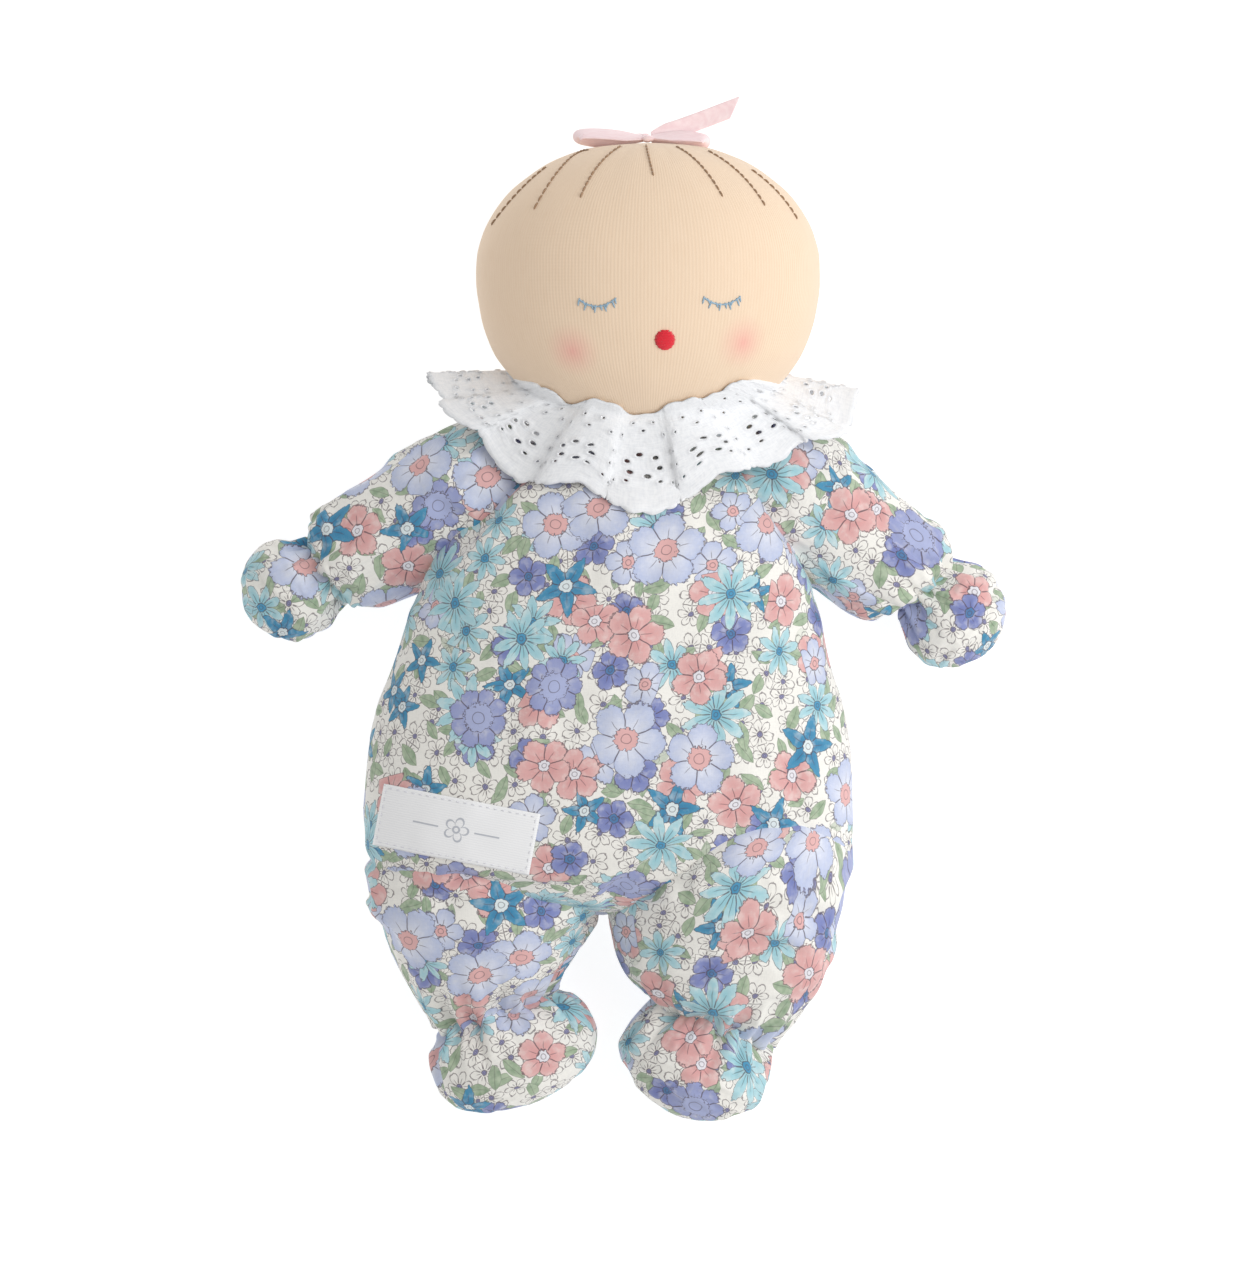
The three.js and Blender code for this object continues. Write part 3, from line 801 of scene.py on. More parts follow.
        per_petal = g.math("DIVIDE", 2.0, petals)
        between = g.mul(g.mul(away, lobe), per_petal)
        vein = g.mul(g.mul(away, gap), per_petal)
        outer_part = g.ramp_up(g.sub(away, heart), 0.2, 0.5)
        creases = g.mul(g.line(between, 0.26), outer_part)
        short = g.sub(1.0, g.ramp_up(share, 0.5, 0.62))
        veins = g.mul(g.mul(g.line(vein, 0.18), outer_part), g.mul(short, 0.7))
        rim_line = g.line(g.sub(inside, 0.1), 0.3)
        cut_line = g.line(edge, 0.2)
        heart_rim = g.mul(heart, g.add(1.0, g.mul(wobble, 0.9)))
        heart_mask = g.ramp_up(g.sub(heart_rim, away), 0.0, 0.14)
        heart_line = g.line(g.sub(heart_rim, away), 0.22)
        pip = g.line(g.sub(g.mul(heart, 0.42), away), 0.2)

        petal = g.mix(heart_mask, petal, middle)
        ink = g.math("MAXIMUM", g.math("MAXIMUM", creases, veins), g.math("MAXIMUM", rim_line, cut_line))
        ink = g.math("MAXIMUM", ink, g.math("MAXIMUM", heart_line, g.mul(pip, 0.7)))
        petal = g.mix(g.mul(ink, 0.8), petal, INK)
        cover = g.math("MAXIMUM", petal_mask, g.mul(rim_line, 0.72))
        return g.mix(g.math("MINIMUM", cover, 1.0), under, petal)

    def leaves(self, g: Graph, under: Socket, place: Socket, shift: float) -> Socket:
        """Draws a scatter of veined leaves over a colour."""
        (pick, turn, tone), local, _, _ = self.cells(g, place, self.leaf_spacing, shift, 0.8)
        x, y, _ = g.split(local)
        angle = g.mul(turn, 6.283)
        cos, sin = g.math("COSINE", angle), g.math("SINE", angle)
        long = g.add(g.mul(x, cos), g.mul(y, sin))
        wide = g.sub(g.mul(y, cos), g.mul(x, sin))
        size = g.add(3.5, g.mul(tone, 1.3))
        share = g.math("DIVIDE", long, size)
        half = g.mul(g.sub(1.0, g.mul(share, share)), g.mul(size, 0.46))
        inside = g.sub(half, g.math("ABSOLUTE", wide))
        there = g.ramp_up(pick, 0.32, 0.33)
        mask = g.mul(g.ramp_up(inside, 0.0, 0.14), there)
        wash = g.noise(place, 0.5, 2.0).outputs[0]
        green = g.mix(g.ramp_up(wash, 0.35, 0.7), LEAF, LEAF_DARK)
        lines = g.math("MAXIMUM", g.mul(g.line(wide, 0.14), 0.7), g.line(inside, 0.24))
        green = g.mix(g.mul(lines, 0.6), green, INK)
        return g.mix(mask, under, green)

    def daisies(self, g: Graph, under: Socket, place: Socket, wobble: Socket) -> Socket:
        """Draws patches of small outlined daisies over a colour."""
        numbers, local, edge, _ = self.cells(g, place, self.daisy_spacing, 61.0, 0.55)
        return self.blooms(g, under, place, wobble, DAISIES, (numbers, local, edge, 0.0))

    def material(self) -> bpy.types.Material:
        """Makes the printed cotton."""
        g = Graph("floral_cotton", 0.86, 0.18, 0.25)
        flat = g.cloth_place()
        drift = g.noise(flat, 0.16, 2.0).outputs["Color"]
        bend = g.scaled(g.vector_math("SUBTRACT", drift, (0.5, 0.5, 0.5)), 1.5)
        place = g.vector_math("ADD", flat, bend)
        wobble = g.sub(g.noise(flat, 0.9, 2.0).outputs[0], 0.5)
        colour = self.daisies(g, GROUND, place, wobble)
        colour = self.leaves(g, colour, self.turned(g, place, 25), 13.0)
        colour = self.leaves(g, colour, place, 171.0)
        for kinds, spacing, degrees, shift, jitter, empty in (
            (SMALL_BLOOMS, self.small_spacing, 14, 37.0, 0.5, 0.12),
            (SMALL_BLOOMS, self.small_spacing, 50, 87.0, 0.6, 0.6),
            (BLOOMS, self.spacing, -20, 5.0, 0.45, 0.5), (BLOOMS, self.spacing, 33, 53.0, 0.45, 0.5),
        ):
            cells = self.cells(g, self.turned(g, place, degrees), spacing, shift, jitter)
            colour = self.blooms(g, colour, place, wobble, kinds, self.sparse(g, cells, empty))
        warp = g.noise(g.vector_math("MULTIPLY", flat, (2.6, 0.5, 1.0)), 1.0, 3.0).outputs[0]
        weft = g.noise(g.vector_math("MULTIPLY", flat, (0.5, 2.6, 1.0)), 1.0, 3.0).outputs[0]
        weave = g.mul(g.add(warp, weft), 0.5)
        colour = g.mix(g.mul(g.ramp_up(weave, 0.42, 0.62), 0.10), colour, srgb(150, 150, 160))
        g.bump(weave, 0.10, 0.55)
        return g.colour(colour)

    def sparse(self, g: Graph, cells: tuple, share: float) -> tuple:
        """Leaves a share of a scatter's cells empty."""
        (pick, turn, tone), local, edge, gone = cells
        empty = g.ramp_up(turn, 1 - share, 1.001 - share)
        return (pick, turn, tone), local, edge, g.math("MAXIMUM", gone, empty)


@dataclass(frozen=True)
class SkinKnit:
    """Fine-ribbed stockinette with a soft rouge on the cheeks and painted shade in the grooves between its
    ribs.
    """

    tint: tuple = srgb(240, 216, 190)
    # shade is the darker knit colour: painted shade in the rib grooves, and the yarn's own darker slubs
    shade: tuple = srgb(226, 192, 158)
    rouge: tuple = srgb(238, 148, 148)
    ribs: int = 288

    def material(self, cheeks: tuple[Vector, ...], reach: float) -> bpy.types.Material:
        """Makes the knit.

        Args:
            cheeks: Middles of the rouge spots in the head's space, in millimetres.
            reach: Radius of a spot.

        Returns:
            The material.
        """
        g = Graph("skin_knit", 0.92, 0.25, 0.2)
        u, v, _ = g.split(g.node("ShaderNodeUVMap", uv_map="cloth").outputs[0])
        flat = g.join(g.mul(u, 290.0), g.mul(v, 1 / UV_SCALE))
        lean = g.mul(g.sub(g.noise(flat, 0.05, 1.0).outputs[0], 0.5), 0.9)
        wave = g.math("SINE", g.add(g.mul(u, 2 * math.pi * self.ribs), lean))
        rib = g.add(0.5, g.mul(wave, 0.5))
        loop = g.math("SINE", g.mul(v, 2 * math.pi / UV_SCALE / 1.05))
        slub = g.noise(g.vector_math("MULTIPLY", flat, (1.0, 0.12, 1.0)), 1.3, 3.0).outputs[0]
        # Painted shade: the knit darkens towards its shade colour in the grooves between ribs.
        colour = g.mix(g.mul(g.sub(1.0, rib), 0.15), self.tint, self.shade)
        colour = g.mix(g.mul(g.ramp_up(slub, 0.45, 0.75), 0.16), colour, self.shade)
        place = g.object_place()
        mottle = g.noise(place, 0.08, 3.0).outputs[0]
        for cheek in cheeks:
            away = g.node("ShaderNodeVectorMath", operation="DISTANCE")
            g.put(away.inputs[0], place)
            away.inputs[1].default_value = cheek
            soft = g.math("POWER", g.sub(1.0, g.ramp_up(away.outputs["Value"], 0.0, reach)), 1.5)
            colour = g.mix(g.mul(soft, g.add(0.42, g.mul(mottle, 0.3))), colour, self.rouge)
        height = g.add(g.mul(rib, 0.7), g.add(g.mul(loop, 0.06), g.mul(slub, 0.25)))
        g.bump(height, 0.13, 0.45)
        return g.colour(colour)


@dataclass(frozen=True)
class Thread:
    """Stranded embroidery thread: fine twisted strands with a low gloss.

    Attributes:
        name: The material's name.
        tint: The thread's colour.
        shade: Painted shade, the darker colour put in the hollows between strands.
        roughness: The gloss of the thread.
    """

    name: str
    tint: tuple
    shade: tuple
    roughness: float = 0.55

    def material(self) -> bpy.types.Material:
        """Makes the thread."""
        g = Graph(self.name, self.roughness, 0.3, 0.4)
        place = g.object_place()
        strands = g.node("ShaderNodeTexWave", bands_direction="DIAGONAL")
        g.put(strands.inputs["Vector"], place)
        strands.inputs["Scale"].default_value = 1.6
        strands.inputs["Distortion"].default_value = 2.0
        fuzz = g.noise(place, 1.4, 3.0).outputs[0]
        height = g.add(g.mul(strands.outputs["Fac"], 0.7), g.mul(fuzz, 0.5))
        g.bump(height, 0.12, 0.6)
        # Painted shade: the thread darkens from its tint to its shade where the strands' height is low, in
        # the hollows between them.
        return g.colour(g.mix(g.ramp_up(height, 0.2, 0.8), self.shade, self.tint))


@dataclass(frozen=True)
class EyeletCotton:
    """White cotton lawn with raised white embroidery."""

    tint: tuple = srgb(243, 244, 246)
    shade: tuple = srgb(230, 232, 236)

    def material(self) -> bpy.types.Material:
        """Makes the collar's cotton."""
        g = Graph("eyelet_cotton", 0.9, 0.2, 0.2)
        flat = g.cloth_place()
        warp = g.noise(g.vector_math("MULTIPLY", flat, (2.4, 0.5, 1.0)), 1.0, 3.0).outputs[0]
        weft = g.noise(g.vector_math("MULTIPLY", flat, (0.5, 2.4, 1.0)), 1.0, 3.0).outputs[0]
        weave = g.mul(g.add(warp, weft), 0.5)
        sprigs = g.node("ShaderNodeTexVoronoi", voronoi_dimensions="2D")
        g.put(sprigs.inputs["Vector"], flat)
        sprigs.inputs["Scale"].default_value = 1 / 3.4
        raised = g.sub(1.0, g.ramp_up(g.mul(sprigs.outputs["Distance"], 3.4), 0.6, 1.1))
        height = g.add(g.mul(weave, 0.2), g.mul(raised, 0.6))
        g.bump(height, 0.22, 0.6)
        return g.colour(g.mix(g.ramp_up(weave, 0.34, 0.58), self.shade, self.tint))


@dataclass(frozen=True)
class SatinRibbon:
    """Narrow double-faced satin ribbon."""

    tint: tuple = srgb(254, 234, 236)
    shade: tuple = srgb(246, 216, 220)

    def material(self) -> bpy.types.Material:
        """Makes the ribbon."""
        g = Graph("satin_ribbon", 0.42, 0.3, 0.5)
        place = g.object_place()
        floats = g.noise(g.vector_math("MULTIPLY", place, (0.35, 0.35, 6.0)), 1.0, 3.0).outputs[0]
        g.shader.inputs["Anisotropic"].default_value = 0.4
        g.bump(floats, 0.06, 0.5)
        return g.colour(g.mix(g.ramp_up(floats, 0.3, 0.7), self.shade, self.tint))


@dataclass(frozen=True)
class TagTape:
    """White woven tape with a small grey woven flower and no lettering."""

    tint: tuple = srgb(248, 248, 249)
    shade: tuple = srgb(226, 228, 233)
    motif: tuple = srgb(176, 180, 190)

    def material(self) -> bpy.types.Material:
        """Makes the tape."""
        g = Graph("tag_tape", 0.7, 0.15, 0.3)
        flat = g.cloth_place()
        x, y, _ = g.split(flat)
        ribs = g.add(0.5, g.mul(g.math("SINE", g.mul(y, 2 * math.pi / 0.7)), 0.5))
        fuzz = g.noise(flat, 1.2, 3.0).outputs[0]
        away = g.math("SQRT", g.add(g.mul(x, x), g.mul(y, y)))
        angle = g.math("ARCTAN2", y, x)
        lobe = g.math("ABSOLUTE", g.math("COSINE", g.mul(angle, 2.5)))
        rim = g.add(1.3, g.mul(g.math("POWER", lobe, 0.6), 2.3))
        drawn = g.math("MAXIMUM", g.line(g.sub(rim, away), 0.42), g.line(g.sub(0.9, away), 0.4))
        stems = g.line(y, 0.34)
        aside = g.math("ABSOLUTE", x)
        span = g.mul(g.ramp_up(aside, 5.4, 5.5), g.sub(1.0, g.ramp_up(aside, 13.0, 13.1)))
        drawn = g.math("MAXIMUM", drawn, g.mul(stems, span))
        colour = g.mix(g.mul(ribs, 0.35), self.tint, self.shade)
        colour = g.mix(g.mul(drawn, 0.85), colour, self.motif)
        g.bump(g.add(g.mul(ribs, 0.4), g.add(g.mul(fuzz, 0.3), g.mul(drawn, 0.5))), 0.14, 0.6)
        return g.colour(colour)


@dataclass(frozen=True)
class Moulding:
    """Moulded plastic with a fine spark texture."""

    name: str
    tint: tuple
    roughness: float

    def material(self) -> bpy.types.Material:
        """Makes the plastic."""
        g = Graph(self.name, self.roughness)
        grain = g.noise(g.object_place(), 1.8, 3.0).outputs[0]
        g.bump(grain, 0.04, 0.4)
        return g.colour(g.mix(g.mul(grain, 0.12), self.tint, srgb(190, 190, 190)))


@dataclass(frozen=True)
class FibreFill:
    """Matted polyester fibre."""

    tint: tuple = srgb(244, 242, 238)

    def material(self) -> bpy.types.Material:
        """Makes the fill."""
        g = Graph("fibre_fill", 1.0, 0.4, 0.1)
        strands = g.noise(g.object_place(), 0.5, 6.0).outputs[0]
        g.bump(strands, 0.8, 0.8)
        return g.colour(g.mix(g.ramp_up(strands, 0.3, 0.7), srgb(222, 220, 214), self.tint))


@dataclass
class Finishes:
    """Every finish of the doll, made once."""

    cotton: bpy.types.Material = field(default_factory=lambda: FloralCotton().material())
    eyelet: bpy.types.Material = field(default_factory=lambda: EyeletCotton().material())
    ribbon: bpy.types.Material = field(default_factory=lambda: SatinRibbon().material())
    tape: bpy.types.Material = field(default_factory=lambda: TagTape().material())
    fill: bpy.types.Material = field(default_factory=lambda: FibreFill().material())
    hair: bpy.types.Material = field(
        default_factory=lambda: Thread("hair_thread", srgb(176, 140, 106), srgb(122, 92, 66)).material()
    )
    eye: bpy.types.Material = field(
        default_factory=lambda: Thread("eye_thread", srgb(170, 198, 214), srgb(116, 152, 184)).material()
    )
    mouth: bpy.types.Material = field(
        default_factory=lambda: Thread("mouth_thread", srgb(240, 26, 52), srgb(206, 14, 38), 0.6).material()
    )
    thread: bpy.types.Material = field(
        default_factory=lambda: Thread("gather_thread", srgb(238, 238, 243), srgb(206, 206, 216)).material()
    )
    shell: bpy.types.Material = field(
        default_factory=lambda: Moulding("rattle_plastic", srgb(233, 231, 224), 0.5).material()
    )
    bead: bpy.types.Material = field(
        default_factory=lambda: Moulding("rattle_bead", srgb(157, 183, 201), 0.25).material()
    )


# --------------------------------------------------------------------------- trunk
@dataclass
class Trunk:
    """The romper's stuffed trunk, with the rattle inside it."""

    widths: tuple = (
        (-36, 2.0), (-35, 22), (-32.5, 45), (-29, 61.5), (-24, 70), (-16, 73.6), (-4, 74.2), (8, 73.8),
        (24, 71.4),
        (38, 66.5), (54, 62), (66, 57.5), (78, 51), (88, 43), (97, 34), (104, 26), (108, 20), (110, 10),
    )
    depths: tuple = (
        (-36, 2.0), (-35, 12), (-32.5, 19.5), (-29, 25), (-24, 29.5), (-16, 33.2), (-4, 35.4), (8, 35.9),
        (24, 35.9),
        (54, 34.2), (66, 32), (78, 29), (88, 25.5), (97, 21), (104, 17), (108, 13), (110, 8),
    )

    creases: tuple[Crease, ...] = (
        Crease(((1, -31), (6, -27), (28, -13.5), (49, -2)), 2.6, 2.0),
        Crease(((-46, -25.5), (-26, -28.5), (-4, -28.5)), 1.4, 1.5),
        Crease(((-60, 60), (-44, 52)), 1.2, 2.6),
        Crease(((66, 58), (50, 44)), 1.1, 2.8),
        Crease(((-26, 95), (-42, 77), (-56, 58)), 2.2, 2.2),
        Crease(((45, 93), (57, 74), (66, 58)), 2.0, 2.2),
    )

    def form(self) -> StuffedForm:
        """Gives the trunk's form: its line runs from the origin's height towards the neck."""
        low, _ = node_box("torso_back_panel")
        _, high = node_box("torso_front_panel")
        start = Vector((0, 0, (low.z + high.z) / 2))
        scale = (high.z - start.z) / 36
        depths = [(s, d * scale) for s, d in self.depths]
        return StuffedForm(
            name="romper_trunk",
            start=start,
            end=start + Vector((0, 1, 0)),
            widths=list(self.widths),
            fronts=depths,
            backs=depths,
            drift=[(-40, 0), (0, 0), (60, 2.6), (90, 5.6), (112, 8.5)],
            rings=84,
            sectors=144,
            pattern=(20, 36),
            gathers=[(108, 9, 0.05)],
            pleats=17,
            floor=0.0,
            seed=3,
            dents=0.55,
            creases=self.creases,
        )

    def build(self, finishes: Finishes) -> Skin:
        """Makes and dresses the trunk and the rattle's pieces, and gives the trunk's surface."""
        form = self.form()
        piece = form.build()
        heights = np.array([v.co.y / MM for v in piece.data.vertices])
        pinned = np.clip((heights - 84) / 14, 0, 1)
        ClothSettling(slack=0.02, cap=0.9).apply(piece, pinned, 0.0)
        rounded(piece)
        skin = Skin(piece)
        dress(piece, finishes.cotton, "torso")
        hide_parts("torso_front_panel", "torso_back_panel", "torso_fill_front", "torso_fill_back")
        self.dress_rattle(finishes)
        return skin

    def dress_rattle(self, finishes: Finishes) -> None:
        """Gives the rattle's CAD nodes their plastics."""
        for name, material in (
            ("rattle_shell_front", finishes.shell), ("rattle_shell_back", finishes.shell),
            ("rattle_bead_1", finishes.bead), ("rattle_bead_2", finishes.bead),
            ("rattle_bead_3", finishes.bead),
        ):
            repaint(name, material)


def repaint(node: str, material: bpy.types.Material) -> None:
    """Gives a carried-over CAD node a finish."""
    slots = frame["nodes"][node].material_slots
    for slot in slots:
        slot.material = material


# --------------------------------------------------------------------------- limbs
@dataclass
class Arm:
    """One sleeve and hand, stuffed in one tube that thread gathers at the wrist."""

    side: str
    radius: float = 19.6
    wrist: float = 10.2

    @property
    def wrist_lean(self) -> float:
        """Gives the slope of the wrist's gather across the sleeve."""
        return -0.25 if self.side == "left" else 0.0

    def sleeve(self) -> StuffedForm:
        """Gives the sleeve's form, from inside the trunk to the wrist."""
        shoulder, wrist = joint_at(f"{self.side}_arm_forward"), joint_at(f"{self.side}_wrist_bend")
        long = (wrist - shoulder).length
        r = self.radius
        widths = [
            (-24, 2), (-23, 8), (-18, 15), (-8, r * 0.96), (4, r + 0.6), (16, r + 0.4), (28, r - 0.4),
            (long - 11, r - 2.0), (long - 5, r - 4.6), (long - 1.6, self.wrist + 1.0),
            (long + 0.6, self.wrist * 0.78),
            (long + 1.6, 3.0),
        ]
        return StuffedForm(
            name=f"{self.side}_sleeve",
            start=shoulder,
            end=wrist,
            widths=widths,
            fronts=[(s, w * 0.98) for s, w in widths],
            backs=[(s, w * 0.92) for s, w in widths],
            pattern=(40, 12) if self.side == "left" else (72, 55),
            gathers=[(long + 0.6, 6.5, 0.36), (-10, 9, 0.06)],
            lean=[(0, 0), (long * 0.6, 0), (long, self.wrist_lean)],
            rings=64,
            sectors=96,
            seed=5 if self.side == "left" else 9,
            dents=0.6,
        )

    def hand(self) -> StuffedForm:
        """Gives the hand's form: a stuffed ball beyond the wrist."""
        wrist = joint_at(f"{self.side}_wrist_bend")
        centre = node_centre(f"{self.side}_hand_fill")
        low, high = node_box(f"{self.side}_hand_cover")
        half = max(high.x - low.x, high.y - low.y) / 2 * 1.04
        widths = [
            (-2.2, 3), (-1.4, self.wrist * 0.8), (1.2, self.wrist), (4.6, half - 2.6), (9, half),
            (14, half + 0.7),
            (19, half - 0.6), (23.4, half - 4.4), (26.4, half - 9.4), (27.6, 2),
        ]
        depth = [(s, w * 0.93) for s, w in widths]
        return StuffedForm(
            name=f"{self.side}_hand",
            start=wrist,
            end=centre,
            widths=widths,
            fronts=depth,
            backs=depth,
            pattern=(12, 70) if self.side == "left" else (98, 20),
            gathers=[(0, 6.0, 0.36), (27.6, 3.2, 0.05)],
            rings=48,
            sectors=96,
            seed=6 if self.side == "left" else 10,
            dents=0.45,
        )

    def build(self, finishes: Finishes) -> Skin:
        """Makes and dresses the sleeve and the hand, and gives the sleeve's surface."""
        sleeve = self.sleeve()
        arm = sleeve.build()
        settle_limb(arm, sleeve, (-12, 10), (sleeve.widths[-1][0] - 2, 5))
        rounded(arm)
        skin = Skin(arm)
        dress(arm, finishes.cotton, f"{self.side}_arm")
        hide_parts(f"{self.side}_arm_cover", f"{self.side}_arm_fill", f"{self.side}_wrist_thread")
        palm = self.hand()
        hand = palm.build()
        settle_limb(hand, palm, (0, 4), (27, 3))
        rounded(hand)
        dress(hand, finishes.cotton, f"{self.side}_hand")
        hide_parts(f"{self.side}_hand_cover", f"{self.side}_hand_fill")
        repaint(f"{self.side}_shoulder_pad", finishes.fill)
        return skin


def settle_limb(piece: bpy.types.Object, form: StuffedForm, first: tuple, last: tuple) -> None:
    """Lets a limb's cloth pucker, held at its two ends.

    Args:
        piece: The limb's object.
        form: The form that it was made from.
        first: Place and reach of the hold at the near end, in millimetres.
        last: Place and reach of the hold at the far end.
    """
    _, along, _ = form.basis()
    places = np.array([(v.co / MM - form.start).dot(along) for v in piece.data.vertices])
    near = np.clip((first[0] + first[1] - places) / first[1], 0, 1)
    far = np.clip((places - last[0] + last[1]) / last[1], 0, 1)
    ClothSettling(slack=0.05, cap=1.5).apply(piece, np.maximum(near, far), form.floor)


@dataclass
class Leg:
    """One romper leg and its foot, gathered at the ankle."""

    side: str
    ankle: float = 16.2

    def thigh_tables(self, long: float) -> tuple[list, list, list]:
        """Gives the leg's half widths, front depths and ring slopes against distance from the hip.

        Args:
            long: Distance from the hip to the ankle.

        Returns:
            The three tables; the left leg's root rises over the trunk at its outer side.
        """
        end = [(long - 2.0, self.ankle + 1.4), (long + 0.6, self.ankle - 1), (long + 1.8, 4)]
        front_end = [(long - 2.5, 13.0), (long + 0.6, 10.4), (long + 1.8, 3)]
        if self.side == "left":
            widths = [
                (-31, 2), (-29.5, 11), (-24, 21), (-14, 31), (-5, 35.4), (6, 35.6), (15, 34.0), (24, 30.6),
                (34, 24.2),
            ]
            fronts = [
                (-31, 2), (-29.5, 17), (-24, 29), (-14, 38.6), (-5, 38.0), (6, 33.5), (15, 30.0), (24, 26),
                (34, 20),
            ]
            lean = [(-31, 0.34), (-14, 0.34), (6, 0.1), (long - 16, 0.0), (long, -0.3)]
        else:
            widths = [
                (-31, 2), (-29.5, 11), (-24, 21), (-14, 31), (-5, 35.8), (4, 36.2), (13, 32.4), (22, 27.6),
                (31, 22.4),
            ]
            fronts = [
                (-31, 2), (-29.5, 13), (-24, 20), (-14, 25.5), (-5, 28), (4, 28.6), (13, 27.0), (22, 23.8),
                (31, 18.6),
            ]
            lean = [(-31, 0), (8, 0), (long, 0.32)]
        return widths + end, fronts + front_end, lean

    def thigh(self) -> StuffedForm:
        """Gives the leg's form, from inside the trunk to the ankle."""
        hip, ankle = joint_at(f"{self.side}_leg_fold"), joint_at(f"{self.side}_ankle_bend")
        long = (ankle - hip).length
        widths, fronts, lean = self.thigh_tables(long)
        backs = [(s, min(d, 26.5)) for s, d in fronts]
        return StuffedForm(
            name=f"{self.side}_trouser_leg",
            start=hip,
            end=ankle,
            widths=widths,
            fronts=fronts,
            backs=backs,
            pattern=(55, 90) if self.side == "left" else (8, 130),
            gathers=[(long + 0.5, 7.5, 0.34)],
            lean=lean,
            pleats=14,
            rings=64,
            sectors=112,
            seed=14 if self.side == "left" else 18,
            dents=0.7,
        )

    def foot(self) -> StuffedForm:
        """Gives the foot's form beyond the ankle."""
        ankle = joint_at(f"{self.side}_ankle_bend")
        centre = node_centre(f"{self.side}_foot_fill")
        low, high = node_box(f"{self.side}_foot_cover")
        half = 23.2 if self.side == "right" else 21.2
        tall = (high.z - low.z) / 2
        widths = [
            (-2.4, 3), (-1.4, self.ankle - 2), (1.5, self.ankle + 0.4), (5, half - 2.2), (10, half),
            (15.5, half + 0.6),
            (21, half - 1.4), (26, half - 6.4), (29.2, half - 13), (30.6, 2),
        ]
        depth = [(s, w / half * tall * 1.02) for s, w in widths]
        return StuffedForm(
            name=f"{self.side}_foot",
            start=ankle,
            end=centre,
            widths=widths,
            fronts=depth,
            backs=depth,
            pattern=(31, 40) if self.side == "left" else (66, 12),
            gathers=[(0, 7.0, 0.34), (30.6, 4.0, 0.05)],
            pleats=14,
            rings=52,
            sectors=112,
            seed=15 if self.side == "left" else 19,
            dents=0.5,
        )

    def build(self, finishes: Finishes) -> None:
        """Makes and dresses the leg and the foot."""
        thigh = self.thigh()
        leg = thigh.build()
        settle_limb(leg, thigh, (-20, 14), (thigh.widths[-1][0] - 2, 6))
        rounded(leg)
        dress(leg, finishes.cotton, f"{self.side}_leg")
        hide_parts(f"{self.side}_leg_cover", f"{self.side}_leg_fill", f"{self.side}_ankle_thread")
        sole = self.foot()
        foot = sole.build()
        settle_limb(foot, sole, (0, 5), (30, 3))
        rounded(foot)
        dress(foot, finishes.cotton, f"{self.side}_foot")
        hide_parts(f"{self.side}_foot_cover", f"{self.side}_foot_fill")
        repaint(f"{self.side}_hip_pad", finishes.fill)


